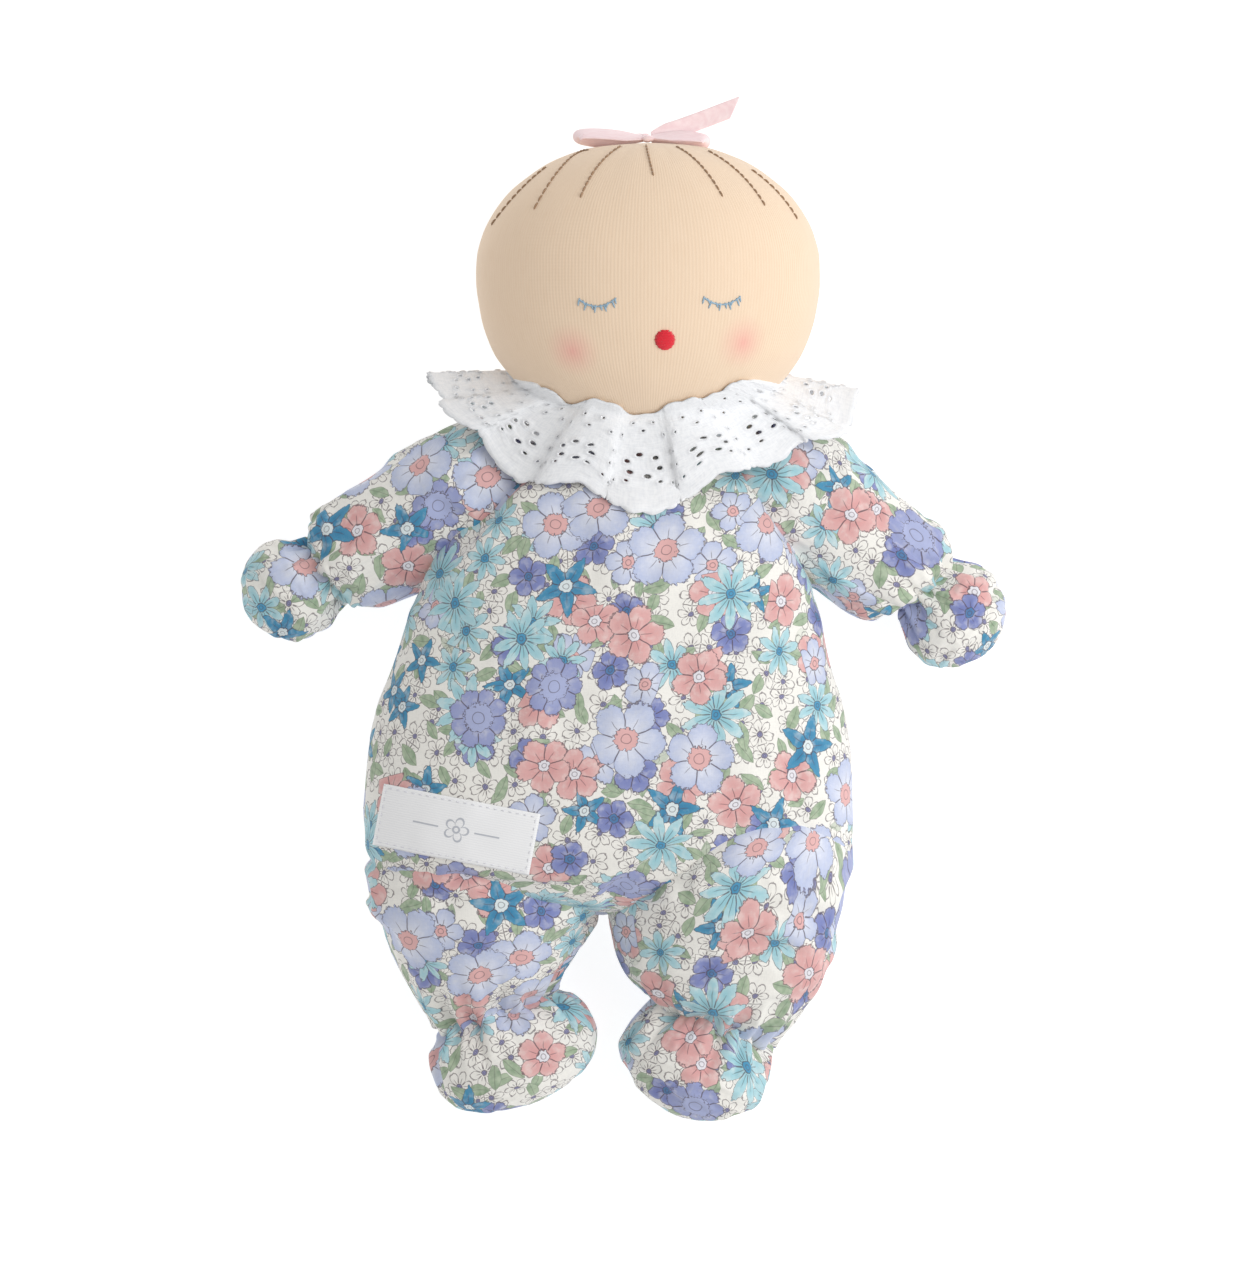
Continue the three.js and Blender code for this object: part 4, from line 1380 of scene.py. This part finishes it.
# --------------------------------------------------------------------------- head
@dataclass
class Head:
    """The stuffed knit head with its stitched face and hair."""

    widths: tuple = (
        (-44.4, 2), (-43.8, 12), (-40.5, 24), (-35, 33.2), (-27, 41.6), (-19.5, 46.6), (-9, 50.2), (0, 51.5),
        (8, 51.3), (15, 49.6), (21, 46.8), (27, 42.4), (32, 36.8), (36.4, 30.2), (39.6, 22.6), (41.6, 14.2),
        (42.4, 2),
    )
    eye_sag: float = 2.2
    eye_half: float = 5.4
    lashes: tuple = (
        (-5.2, 1.9, -0.5), (-4.2, 1.3, 0.8), (-3.0, 1.9, -0.9), (-1.7, 1.2, 0.6), (-0.4, 1.9, -0.3),
        (1.0, 1.3, 0.5),
        (2.1, 1.9, 0.7), (3.3, 1.3, -0.6), (4.4, 1.9, 0.9), (5.3, 1.4, 0.4),
    )

    def __post_init__(self) -> None:
        """Finds the head's middle and depth from the CAD."""
        low, high = node_box("head_fill")
        front = node_box("head_front_panel")[1].z
        back = node_box("head_back_panel")[0].z
        self.centre = Vector(
            ((low.x + high.x) / 2, node_box("head_front_panel")[1].y - 42.9, (front + back) / 2)
        )
        self.depth = (front - back) / 2 / 51.5

    def form(self) -> StuffedForm:
        """Gives the head's form, from the chin to the crown."""
        depths = [(s, w * self.depth) for s, w in self.widths]
        return StuffedForm(
            name="head",
            start=self.centre,
            end=self.centre + Vector((0, 1, 0)),
            widths=list(self.widths),
            fronts=depths,
            backs=depths,
            rings=72,
            sectors=144,
            gathers=[(42.4, 3.0, 0.04)],
            pleats=23,
            floor=0.3,
            seed=2,
            dents=0.3,
        )

    def surface(self, x: float, y: float, lift: float) -> Vector:
        """Gives the point of the face at a plan position from the head's middle, raised by a lift."""
        return self.skin.above(self.centre.x + x, self.centre.y + y, lift)

    def knit_uvs(self, piece: bpy.types.Object) -> None:
        """Lays the knit so that its ribs run from chin to crown and meet there."""
        mesh = piece.data
        layer = mesh.uv_layers["cloth"].data
        for polygon in mesh.polygons:
            middle = polygon.center / MM - self.centre
            home = math.atan2(middle.x, middle.z / self.depth)
            for loop in polygon.loop_indices:
                at = mesh.vertices[mesh.loops[loop].vertex_index].co / MM - self.centre
                flat = math.hypot(at.x, at.z)
                angle = math.atan2(at.x, at.z / self.depth) if flat > 2.5 else home
                angle += round((home - angle) / (2 * math.pi)) * 2 * math.pi
                layer[loop].uv = (angle / (2 * math.pi), at.y * UV_SCALE)

    def eye(self, side: str) -> bpy.types.Object:
        """Makes one closed eye in thread: a sagging lid line with short lashes."""
        centre = node_centre(f"{side}_eye_stitching") - self.centre
        middle = centre + Vector((0, 2.4, 0))

        def lid(dx: float) -> float:
            """Gives the lid line's height at a distance from its middle."""
            return middle.y - self.eye_sag * (1 - (dx / self.eye_half) ** 2)

        runs = []
        stitches = 6
        for i in range(stitches):
            a, b = (self.eye_half * (2 * k / stitches - 1) for k in (i, i + 1.2))
            spots = [a + (b - a) * k / 4 for k in range(5)]
            arch = [0.0, 0.2, 0.26, 0.2, 0.0]
            runs.append([self.surface(middle.x + dx, lid(dx), lift) for dx, lift in zip(spots, arch)])
        for dx, reach, slant in self.lashes:
            top = (middle.x + dx, lid(dx) + 0.5)
            foot = (middle.x + dx + slant, lid(dx) - reach)
            line = [
                (top[0] + (foot[0] - top[0]) * k / 3, top[1] + (foot[1] - top[1]) * k / 3)
                for k in range(4)
            ]
            runs.append([self.surface(x, y, lift) for (x, y), lift in zip(line, (0.1, 0.24, 0.2, 0.0))])
        return threads_piece(f"{side}_eye", runs, 0.26)

    def mouth(self) -> bpy.types.Object:
        """Makes the satin-stitched dot of the mouth: level threads laid side by side over a pad."""
        centre = node_centre("mouth_stitching") - self.centre
        radius, rows = 2.9, 13
        runs = []
        for i in range(rows):
            y = radius * (2 * (i + 0.5) / rows - 1)
            half = math.sqrt(max(radius**2 - y * y, 0.1)) + 0.12 * math.sin(i * 2.4)
            pad = 1.0 * math.sqrt(max(1 - (y / radius) ** 2, 0.05))
            spots = [(-1 + 2 * k / 8) for k in range(9)]
            runs.append([
                self.surface(
                    centre.x + half * t, centre.y + y, 0.05 + pad * math.sqrt(max(1 - t * t, 0)),
                ) for t in spots
            ])
        return threads_piece("mouth", runs, 0.3, 0.2)

    def strand(self, number: int, line: tuple) -> bpy.types.Object:
        """Makes one strand of hair as a row of back stitches.

        Args:
            number: The strand's number in the CAD.
            line: Plan positions of its root, middle and tip from the head's middle.

        Returns:
            The strand's object.
        """
        root, bend, tip = (Vector(p) for p in line)
        pull = bend * 2 - (root + tip) * 0.5

        def spot(t: float, lift: float) -> Vector:
            """Gives a point along the strand."""
            flat = root.lerp(pull, t).lerp(pull.lerp(tip, t), t)
            return self.surface(flat.x, flat.y, lift)

        length = sum((spot((k + 1) / 12, 0) - spot(k / 12, 0)).length for k in range(12))
        stitches = max(round(length / 2.3), 2)
        runs = []
        for i in range(stitches):
            ends = (i / stitches, min((i + 0.98) / stitches, 1))
            spots = [ends[0] + (ends[1] - ends[0]) * k / 5 for k in range(6)]
            runs.append([spot(t, lift) for t, lift in zip(spots, (-0.25, 0.16, 0.26, 0.26, 0.16, -0.25))])
        return threads_piece(f"hair_{number}", runs, 0.29)

    def hair_lines(self) -> list[tuple]:
        """Gives each strand's root, middle and tip from the head's middle."""
        return [
            ((-30.4, 35.2), (-38.6, 27.8), (-47, 17.6)), ((-17.8, 40.2), (-25.1, 35.9), (-34.2, 22.1)),
            ((-8, 41.4), (-15, 35.2), (-20.3, 25.6)), ((-0.6, 41.7), (0.3, 37.5), (1.6, 32.3)),
            ((8.3, 41.2), (15.6, 35.6), (22.3, 25.9)), ((17.8, 40.0), (27.4, 33.1), (35, 23.3)),
            ((30.8, 34.4), (38.7, 27.6), (44.7, 19.4)),
        ]

    def build(self, finishes: Finishes) -> Skin:
        """Makes and dresses the head, its face and its hair, and gives the head's surface."""
        form = self.form()
        piece = form.build()
        self.knit_uvs(piece)
        rounded(piece)
        self.skin = Skin(piece, (self.centre.x, self.centre.y))
        mouth = node_centre("mouth_stitching") - self.centre
        cheeks = tuple(
            self.surface(mouth.x + dx, mouth.y + dy, 0) for dx, dy in ((-27.6, -3.4), (23.4, -0.8))
        )
        knit = SkinKnit().material(cheeks, 9.5)
        dress(piece, knit, "head")
        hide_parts("head_front_panel", "head_back_panel", "head_fill")
        repaint("neck_fill", finishes.fill)
        for side in SIDES:
            eye = dress(self.eye(side), finishes.eye, "head")
            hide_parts(f"{side}_eye_stitching")
        dot = dress(self.mouth(), finishes.mouth, "head")
        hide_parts("mouth_stitching")
        for number, line in enumerate(self.hair_lines(), 1):
            hair = dress(self.strand(number, line), finishes.hair, "head")
            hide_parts(f"hair_strand_{number}")
        return self.skin


# --------------------------------------------------------------------------- collar
@dataclass
class Collar:
    """The gathered eyelet ruffle, cut as one strip with a scalloped edge.

    Attributes:
        under: Surfaces of the pieces that it rests on.
        width: The strip's width.
        length: The strip's length before it is gathered.
        repeats: Repeats of the eyelet pattern along it.
        folds: Soft folds round the neck.
        overlap: How far each fold leans over the next, in radians.
        fold_height: Height of the folds.
        hole: Radius of the larger eyelets.
        small_hole: Radius of the smaller eyelets.
        edges: The outer edge's distance along the doll from the neck's middle, against bearing in degrees.
        crests: The same for the crest that the strip turns over at the neckline.
    """

    under: tuple[Skin, ...]
    width: float = 34.0
    length: float = 322.0
    repeats: int = 17
    folds: int = 9
    overlap: float = 0.05
    fold_height: float = 2.5
    hole: float = 0.6
    small_hole: float = 0.4
    edges: tuple = (
        (-180, -16), (-150, -6), (-120, 10), (-90, 17), (-75, 11), (-61, 3.6), (-50, -0.8), (-44, -9.6),
        (-36, -16),
        (-27, -16.4), (-17, -15.6), (-10, -21.6), (-3.6, -24.6), (2.6, -25.4), (9, -23.4), (15.5, -18),
        (20, -13),
        (28, -12.2), (36, -11.2), (42, -8.2), (46.5, -4), (60, -2.8), (78, 1), (84, 7), (91, 12), (120, 11),
        (150, -6), (180, -16),
    )
    crests: tuple = (
        (-180, -1), (-150, 4), (-120, 12), (-90, 18), (-70, 12.4), (-58, 10.4), (-47, 9.6), (-33, 10),
        (-20, 6),
        (-8, 6), (1, 7.4), (10, 6.4), (21, 6.2), (31, 10), (40, 13.2), (58, 12.6), (75, 15.4), (90, 18),
        (120, 11),
        (150, 4), (180, -1),
    )

    def __post_init__(self) -> None:
        """Finds the neck's middle from the CAD."""
        self.centre = Vector(
            (node_centre("collar_ruffle").x, joint_at("head_turn").y, joint_at("head_turn").z)
        )

    def place(self, u: float, v: float) -> Vector:
        """Gives the point of the ruffle at a place on its strip.

        Args:
            u: Distance along the strip as a share of its length, from the middle of the back.
            v: Distance from the neckline as a share of the width.

        Returns:
            The point in millimetres.
        """
        turn = u * 2 * math.pi - math.pi
        swell = min(v * 1.8, 1.0)
        bearing = turn + math.sin(2 * self.folds * turn) * self.overlap * (0.25 + 0.75 * swell)
        degrees = math.degrees(bearing)
        sin, cos = math.sin(bearing), math.cos(bearing)
        crest = float(np.interp(degrees, *zip(*self.crests)))
        edge = float(np.interp(degrees, *zip(*self.edges)))
        ridge = -math.cos(self.folds * turn)
        rise = min(v / 0.12, 1.0)
        fall = max(v - 0.12, 0) / 0.88
        front = max(cos, 0) ** 0.5
        y = (crest - 4) * (1 - rise) + crest * rise + (edge - crest) * fall**1.15
        y += 2.4 * ridge * math.exp(-(((v - 0.1) / 0.14) ** 2)) * front
        half = 27.5 + 37.5 * v**0.92
        high = float(np.interp(v, (0, 0.1, 0.3, 0.6, 1), (21.5, 27.0, 28.0, 25.5, 22.0)))
        low = float(np.interp(v, (0, 0.1, 0.5, 1), (17.0, 22.0, 29.0, 33.0)))
        z = float(high if cos > 0 else low) * cos
        lift = self.fold_height * ridge * (0.3 + 0.7 * swell) * (0.7 + 0.3 * v)
        return self.centre + Vector(
            (half * sin + sin * 0.4 * lift, y, z + lift * (abs(cos) ** 0.7) * (1 if cos > 0 else 0.3))
        )

    def resting(self, spot: Vector, v: float) -> Vector:
        """Raises a point of the ruffle's front half onto the pieces under it, the turned-in part lowest."""
        share = min(max((spot.z - self.centre.z) / 5, 0), 1)
        top = max(skin.height(spot.x, spot.y) for skin in self.under) + 0.3 + 1.1 * min(v / 0.12, 1)
        return spot + UP * max((top - spot.z) * share, 0)

    def tile_holes(self, pitch: float) -> list[tuple[float, float, float]]:
        """Gives the eyelets of one repeat as (along, across, radius)."""
        w, small = self.width, self.small_hole
        flower = [
            (pitch * 0.5 + 2.9 * math.cos(a), w - 12.0 + 2.9 * math.sin(a), self.hole)
            for a in (math.pi / 3 * k + 0.3 for k in range(6))
        ]
        arc = [
            (pitch * t, w - 4.6 - 3.2 * math.sin(math.pi * t) ** 0.8, small)
            for t in (0.06, 0.2, 0.36, 0.64, 0.8, 0.94)
        ]
        top = [
            (pitch * t, w - h, small)
            for t, h in ((0.2, 20.5), (0.5, 21.5), (0.8, 20.5), (0.36, 24.5), (0.64, 24.5))
        ]
        dots = [
            (pitch * t, w - h, small)
            for t, h in ((0.09, 15.0), (0.91, 15.0), (0.12, 11.0), (0.88, 11.0))
        ]
        return flower + arc + top + dots

    def edge_at(self, x: float, pitch: float) -> float:
        """Gives the scalloped edge's distance from the neckline at a place along the strip."""
        broad = 1.5 * abs(math.sin(math.pi * x / pitch)) ** 0.7
        fine = 0.6 * abs(math.sin(math.pi * x / pitch * 6)) ** 0.7
        return self.width - 1.8 + broad + fine

    def tile(self, pitch: float) -> tuple[np.ndarray, np.ndarray, list]:
        """Triangulates one repeat of the strip.

        Args:
            pitch: The repeat's length.

        Returns:
            Its points, their heights above the cloth, and its triangles.
        """
        steps = 48
        sides = [t * self.edge_at(0, pitch) / 14 for t in range(1, 14)]
        ring = [(pitch * k / 10, 0.0) for k in range(11)]
        ring += [(pitch, y) for y in sides]
        ring += [
            (pitch * (1 - k / steps), self.edge_at(pitch * (1 - k / steps), pitch))
            for k in range(steps + 1)
        ]
        ring += [(0.0, y) for y in sides[::-1]]
        points = list(ring)
        heights = [0.1 if y > self.width - 3.4 else 0.0 for _, y in ring]
        loops = [list(range(len(ring)))]
        holes = self.tile_holes(pitch)
        for x, y, r in holes:
            for grow, high in ((0.0, 0.05), (0.28, 0.42), (0.6, 0.0)):
                first = len(points)
                for k in range(10):
                    a = 2 * math.pi * k / 10
                    points.append((x + (r + grow) * math.cos(a), y + (r + grow) * math.sin(a)))
                    heights.append(high)
                loops.append(list(range(first, len(points))))
        pad = 1.45
        for i in range(int(pitch / pad)):
            for j in range(int(self.width / pad)):
                x, y = (i + 0.5 + 0.25 * (j % 2)) * pad, (j + 0.6) * pad
                if x > pitch - 0.5 or y > self.edge_at(x, pitch) - 0.5:
                    continue
                if all(math.hypot(x - a, y - b) > r + 1.0 for a, b, r in holes):
                    points.append((x, y))
                    heights.append(0.55 if y > self.edge_at(x, pitch) - 1.7 else 0.0)
        edges = [(loop[k], loop[(k + 1) % len(loop)]) for loop in loops for k in range(len(loop))]
        flat, _, triangles, source, *_ = geometry.delaunay_2d_cdt(
            [Vector(p) for p in points], edges, [], 0, 1e-5,
        )
        flat = np.array([list(p) for p in flat])
        tall = np.array([heights[s[0]] if s else 0.0 for s in source])
        kept = []
        for triangle in triangles:
            x, y = flat[list(triangle)].mean(axis=0)
            inside = any(math.hypot(x - a, y - b) < r * 0.93 for a, b, r in holes)
            if not inside and y < self.edge_at(min(max(x, 0), pitch), pitch) + 0.02:
                kept.append(list(triangle))
        return flat, tall, kept

    def ruffle(self) -> bpy.types.Object:
        """Makes the gathered strip with its eyelets and scallops."""
        pitch = self.length / self.repeats
        flat, tall, triangles = self.tile(pitch)
        verts, faces, uvs = [], [], []
        lookup: dict[tuple[int, int], int] = {}
        for repeat in range(self.repeats):
            index = []
            for (x, y), high in zip(flat, tall):
                along = (repeat * pitch + x) % self.length
                key = (round(along * 50), round(y * 50))
                if key not in lookup:
                    lookup[key] = len(verts)
                    u, v = along / self.length, y / self.width
                    spot = self.place(u, v)
                    du = self.place(u + 0.002, v) - spot
                    dv = self.place(u, v + 0.02) - spot
                    normal = dv.cross(du).normalized()
                    verts.append(self.resting(spot, v) + normal * high)
                index.append(lookup[key])
            for triangle in triangles:
                corners = [index[i] for i in triangle]
                if len(set(corners)) == 3:
                    faces.append(corners)
                    uvs += [
                        ((repeat * pitch + flat[i][0]) * UV_SCALE, flat[i][1] * UV_SCALE)
                        for i in triangle
                    ]
        piece = mesh_piece("collar", verts, faces, uvs)
        skin = piece.modifiers.new("cloth", "SOLIDIFY")
        skin.thickness = 0.32 * MM
        skin.offset = 0
        return piece

    def build(self, finishes: Finishes) -> None:
        """Makes and dresses the ruffle and the band."""
        piece = self.ruffle()
        dress(piece, finishes.eyelet, "torso")
        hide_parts("collar_ruffle")
        repaint("collar_neckband", finishes.eyelet)


# --------------------------------------------------------------------------- bow
@dataclass
class Bow:
    """The narrow satin bow on the crown."""

    width: float = 5.4
    thick: float = 0.42
    steps: int = 35

    def __post_init__(self) -> None:
        """Finds the knot from the CAD."""
        self.knot = node_centre("bow_knot")

    def strip(
        self, name: str, line: list[tuple[float, float, float]], twist: list[float], slant: float = 0.0,
    ) -> bpy.types.Object:
        """Makes a ribbon along a line, its width turned towards the front by a twist.

        Args:
            name: The piece's name.
            line: Points from the knot, in millimetres.
            twist: Turn of the ribbon's width in degrees at even places; 0 is along Z.
            slant: Slope of the cut end as a share of the width.

        Returns:
            The ribbon's object.
        """
        t = np.linspace(0, 1, len(line))
        fine = np.linspace(0, 1, self.steps + 1)
        path = np.stack([smooth_curve(t, np.array([p[i] for p in line]), fine) for i in range(3)], axis=1)
        turns = np.interp(fine, np.linspace(0, 1, len(twist)), twist)
        verts, faces, uvs = [], [], []
        across = 6
        for i, (point, turn) in enumerate(zip(path, turns)):
            along = Vector(path[min(i + 1, self.steps)] - path[max(i - 1, 0)]).normalized()
            side = (UP - along * UP.dot(along)).normalized()
            side = Matrix.Rotation(math.radians(turn), 3, along) @ side
            pinch = 0.42 + 0.58 * min(i / 7, 1) if name.startswith("bow_loop") or i < 8 else 1.0
            if name.startswith("bow_loop"):
                pinch = min(pinch, 0.42 + 0.58 * min((self.steps - i) / 7, 1))
            cup = side.cross(along)
            for k in range(across + 1):
                s = k / across - 0.5
                shift = along * (slant * self.width * s * (i / self.steps) ** 4)
                spot = self.knot + Vector(point) + side * (
                    self.width * s * pinch
                ) + cup * (0.9 * s * s) + shift
                verts.append(spot)
        for i in range(self.steps):
            for k in range(across):
                a = i * (across + 1) + k
                faces.append([a, a + 1, a + across + 2, a + across + 1])
                uvs += [(k, i), (k + 1, i), (k + 1, i + 1), (k, i + 1)]
        piece = mesh_piece(name, verts, faces, np.array(uvs) * UV_SCALE)
        body = piece.modifiers.new("thickness", "SOLIDIFY")
        body.thickness = self.thick * MM
        body.offset = 0
        return rounded(piece)

    def wrap(self) -> bpy.types.Object:
        """Makes the knot: a short pinched band of ribbon round the middle."""
        verts, faces, uvs = [], [], []
        rows, sides = 9, 28
        for i in range(rows):
            s = i / (rows - 1) - 0.5
            swell = 1 - 0.32 * (2 * s) ** 2
            for k in range(sides):
                a = 2 * math.pi * k / sides
                crease = 1 + 0.07 * math.cos(3 * a + 2 * s)
                spot = Vector(
                    (1.9 * math.cos(a) * swell * crease, 1.2 * math.sin(a) * swell * crease - 1.2, s * 4.6)
                )
                verts.append(self.knot + spot)
        for i in range(rows - 1):
            for k in range(sides):
                a, b = i * sides + k, i * sides + (k + 1) % sides
                faces.append([a, b, b + sides, a + sides])
                uvs += [(k, i)] * 4
        faces += [list(range(sides))[::-1], [(rows - 1) * sides + k for k in range(sides)]]
        uvs += [(0, 0)] * (2 * sides)
        return rounded(mesh_piece("bow_knot_wrap", verts, faces, np.array(uvs) * UV_SCALE))

    def build(self, finishes: Finishes) -> None:
        """Makes and dresses the knot, both loops and both tails."""
        pieces = {
            "bow_knot": self.wrap(),
            "bow_loop_left": self.strip(
                "bow_loop_a",
                [
                    (1, -0.8, 0), (6, -0.6, 0.6), (11, -0.6, 1.2), (16.6, -1.3, 1.4), (16.4, -2.8, 1.0),
                    (10, -3.4, 0.6), (1, -1.6, 0),
                ],
                [26, 34, 36, 30, 34, 40, 26],
            ),
            "bow_loop_right": self.strip(
                "bow_loop_b",
                [
                    (-1, -0.8, 0), (-6, -0.4, 0.6), (-13, 0.3, 1.6), (-20.0, 0.3, 2.0), (-20.3, -1.5, 1.2),
                    (-11, -2.6, 0.8), (-1, -1.6, 0),
                ],
                [-26, -34, -38, -34, -36, -40, -26],
            ),
            "bow_tail_left": self.strip(
                "bow_tail_a",
                [(1.0, -0.4, -1.4), (7, 1.2, -1.6), (14, 3.6, -1.6), (20.4, 6.0, -1.2), (26.2, 8.2, -0.8)],
                [70, 84, 88, 88, 88], -1.0,
            ),
            "bow_tail_right": self.strip(
                "bow_tail_b", [(-0.6, 0.2, -2), (-4, -0.2, -5), (-8, -1.4, -8), (-12, -3.2, -10.5)],
                [0, -10, -16, -20], 0.7,
            ),
        }
        for node, piece in pieces.items():
            dress(piece, finishes.ribbon, "head")
            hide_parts(node)


def smooth_curve(t: np.ndarray, values: np.ndarray, at: np.ndarray) -> np.ndarray:
    """Interpolates values smoothly through evenly placed points, as a Catmull-Rom curve does."""
    i = np.clip(np.searchsorted(t, at, side="right") - 1, 0, len(t) - 2)
    h = t[1] - t[0]
    s = (at - t[i]) / h
    p0, p1, p2, p3 = (values[np.clip(i + k, 0, len(t) - 1)] for k in (-1, 0, 1, 2))
    return 0.5 * (
        2 * p1 + (p2 - p0) * s + (2 * p0 - 5 * p1 + 4 * p2 - p3) * s**2 + (3 * p1 - p0 - 3 * p2 + p3) * s**3
    )


# --------------------------------------------------------------------------- tag
@dataclass
class SideTag:
    """The woven tape tag, sewn flat on the trunk with a running stitch inside its edges."""

    length: float = 47.4
    height: float = 18.5
    tilt: float = -10.9
    inset: float = 1.1
    stitch: float = 1.5
    gap: float = 0.8

    def build(self, finishes: Finishes, trunk: Skin) -> None:
        """Makes the tag and its stitches on the trunk's surface.

        Args:
            finishes: The doll's finishes.
            trunk: The trunk's surface, which the tag follows.
        """
        low, high = node_box("side_tag")
        middle = (low + high) / 2
        turn = Matrix.Rotation(math.radians(self.tilt), 2)

        def on_trunk(x: float, y: float, lift: float) -> Vector:
            """Gives the point of the trunk's front above a place on the tag, raised by a lift."""
            flat = turn @ Vector((x, y))
            return trunk.above(middle.x + flat.x, middle.y + flat.y, lift)

        columns, rows = 56, 22
        verts, faces, uvs = [], [], []
        for j in range(rows + 1):
            for i in range(columns + 1):
                x, y = (i / columns - 0.5) * self.length, (j / rows - 0.5) * self.height
                edge = min(self.length / 2 - abs(x), self.height / 2 - abs(y))
                verts.append(on_trunk(x, y, 0.75 - 0.2 * math.exp(-edge * 1.2)))
        for j in range(rows):
            for i in range(columns):
                a = j * (columns + 1) + i
                faces.append([a, a + 1, a + columns + 2, a + columns + 1])
                for di, dj in ((0, 0), (1, 0), (1, 1), (0, 1)):
                    x, y = ((i + di) / columns - 0.5) * self.length, ((j + dj) / rows - 0.5) * self.height
                    uvs.append((x * UV_SCALE, y * UV_SCALE))
        tag = mesh_piece("tag", verts, faces, np.array(uvs))
        body = tag.modifiers.new("thickness", "SOLIDIFY")
        body.thickness = 0.5 * MM
        body.offset = -0.5
        dress(tag, finishes.tape, "torso")
        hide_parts("side_tag")

        half_x, half_y = self.length / 2 - self.inset, self.height / 2 - self.inset
        corners = [(-half_x, -half_y), (half_x, -half_y), (half_x, half_y), (-half_x, half_y)]
        runs = []
        for k in range(4):
            a, b = Vector(corners[k]), Vector(corners[(k + 1) % 4])
            count = round((b - a).length / (self.stitch + self.gap))
            for n in range(count):
                ends = [a.lerp(b, (n + 0.15) / count), a.lerp(b, (n + 0.8) / count)]
                spots = [ends[0].lerp(ends[1], t / 3) for t in range(4)]
                runs.append([on_trunk(p.x, p.y, lift) for p, lift in zip(spots, (0.62, 0.86, 0.86, 0.62))])
        stitches = threads_piece("tag_stitches", runs, 0.17)
        dress(stitches, finishes.thread, "torso")


# --------------------------------------------------------------------------- studio
class Tone(Enum):
    """Strengths of the studio's light."""

    WORLD = 0.60
    KEY = 7.5
    FLOOR = 0.78


@dataclass
class Studio:
    """A pale floor, soft light and the camera straight above the doll."""

    span: float = 384.0
    middle: tuple[float, float] = (4.5, 45.0)
    level: float = 36.0
    distance: float = 9000.0
    sensor: float = 36.0

    def build(self) -> None:
        """Sets up the floor, the light and the camera."""
        self.floor()
        self.lights()
        self.camera()
        view = bpy.context.scene.view_settings
        view.view_transform = "Standard"
        view.look = "None"

    def floor(self) -> None:
        """Makes the plain pale floor."""
        size = 4000.0
        corners = [(-size, -size, -0.1), (size, -size, -0.1), (size, size, -0.1), (-size, size, -0.1)]
        floor = mesh_piece("floor", np.array(corners), [[0, 1, 2, 3]])
        g = Graph("paper", 0.95, 0.0, 0.1)
        tone = g.noise(g.object_place(), 0.002, 2.0).outputs[0]
        g.shader.inputs["Emission Color"].default_value = (1, 1, 1, 1)
        g.shader.inputs["Emission Strength"].default_value = Tone.FLOOR.value
        floor.data.materials.append(
            g.colour(g.mix(g.mul(tone, 0.03), (0.45, 0.45, 0.45, 1), (0.42, 0.42, 0.42, 1)))
        )

    def lights(self) -> None:
        """Lights the doll softly from above, a little stronger from its left."""
        world = bpy.data.worlds.new("studio")
        bpy.context.scene.world = world
        world.use_nodes = True
        back = world.node_tree.nodes["Background"]
        back.inputs["Color"].default_value = (1.0, 0.995, 0.985, 1)
        back.inputs["Strength"].default_value = Tone.WORLD.value
        self.area("key", Vector((780, 140, 900)), 800, Tone.KEY)

    def area(self, name: str, place: Vector, size: float, tone: Tone) -> None:
        """Adds a square area light that faces the doll."""
        data = bpy.data.lights.new(name, "AREA")
        data.size = size * MM
        data.energy = tone.value
        light = bpy.data.objects.new(name, data)
        aim = Vector((self.middle[0], self.middle[1], 0)) - place
        light.location = place * MM
        light.rotation_euler = aim.to_track_quat("-Z", "Y").to_euler()
        bpy.context.scene.collection.objects.link(light)

    def camera(self) -> None:
        """Places the camera so that the frame spans the doll as it lies."""
        data = bpy.data.cameras.new("camera")
        data.sensor_width = self.sensor
        data.lens = self.sensor * self.distance / self.span
        data.clip_end = 20
        camera = bpy.data.objects.new("camera", data)
        camera.location = Vector((*self.middle, self.level + self.distance)) * MM
        bpy.context.scene.collection.objects.link(camera)
        bpy.context.scene.camera = camera


# --------------------------------------------------------------------------- assembly
def main() -> None:
    logging.basicConfig(level=logging.INFO, format="%(name)s: %(message)s")
    Studio().build()
    finishes = Finishes()
    trunk = Trunk().build(finishes)
    under = [trunk]
    for side in SIDES:
        under.append(Arm(side).build(finishes))
        Leg(side).build(finishes)
    under.append(Head().build(finishes))
    Collar(tuple(under)).build(finishes)
    Bow().build(finishes)
    SideTag().build(finishes, trunk)


if __name__ == "__main__":
    main()
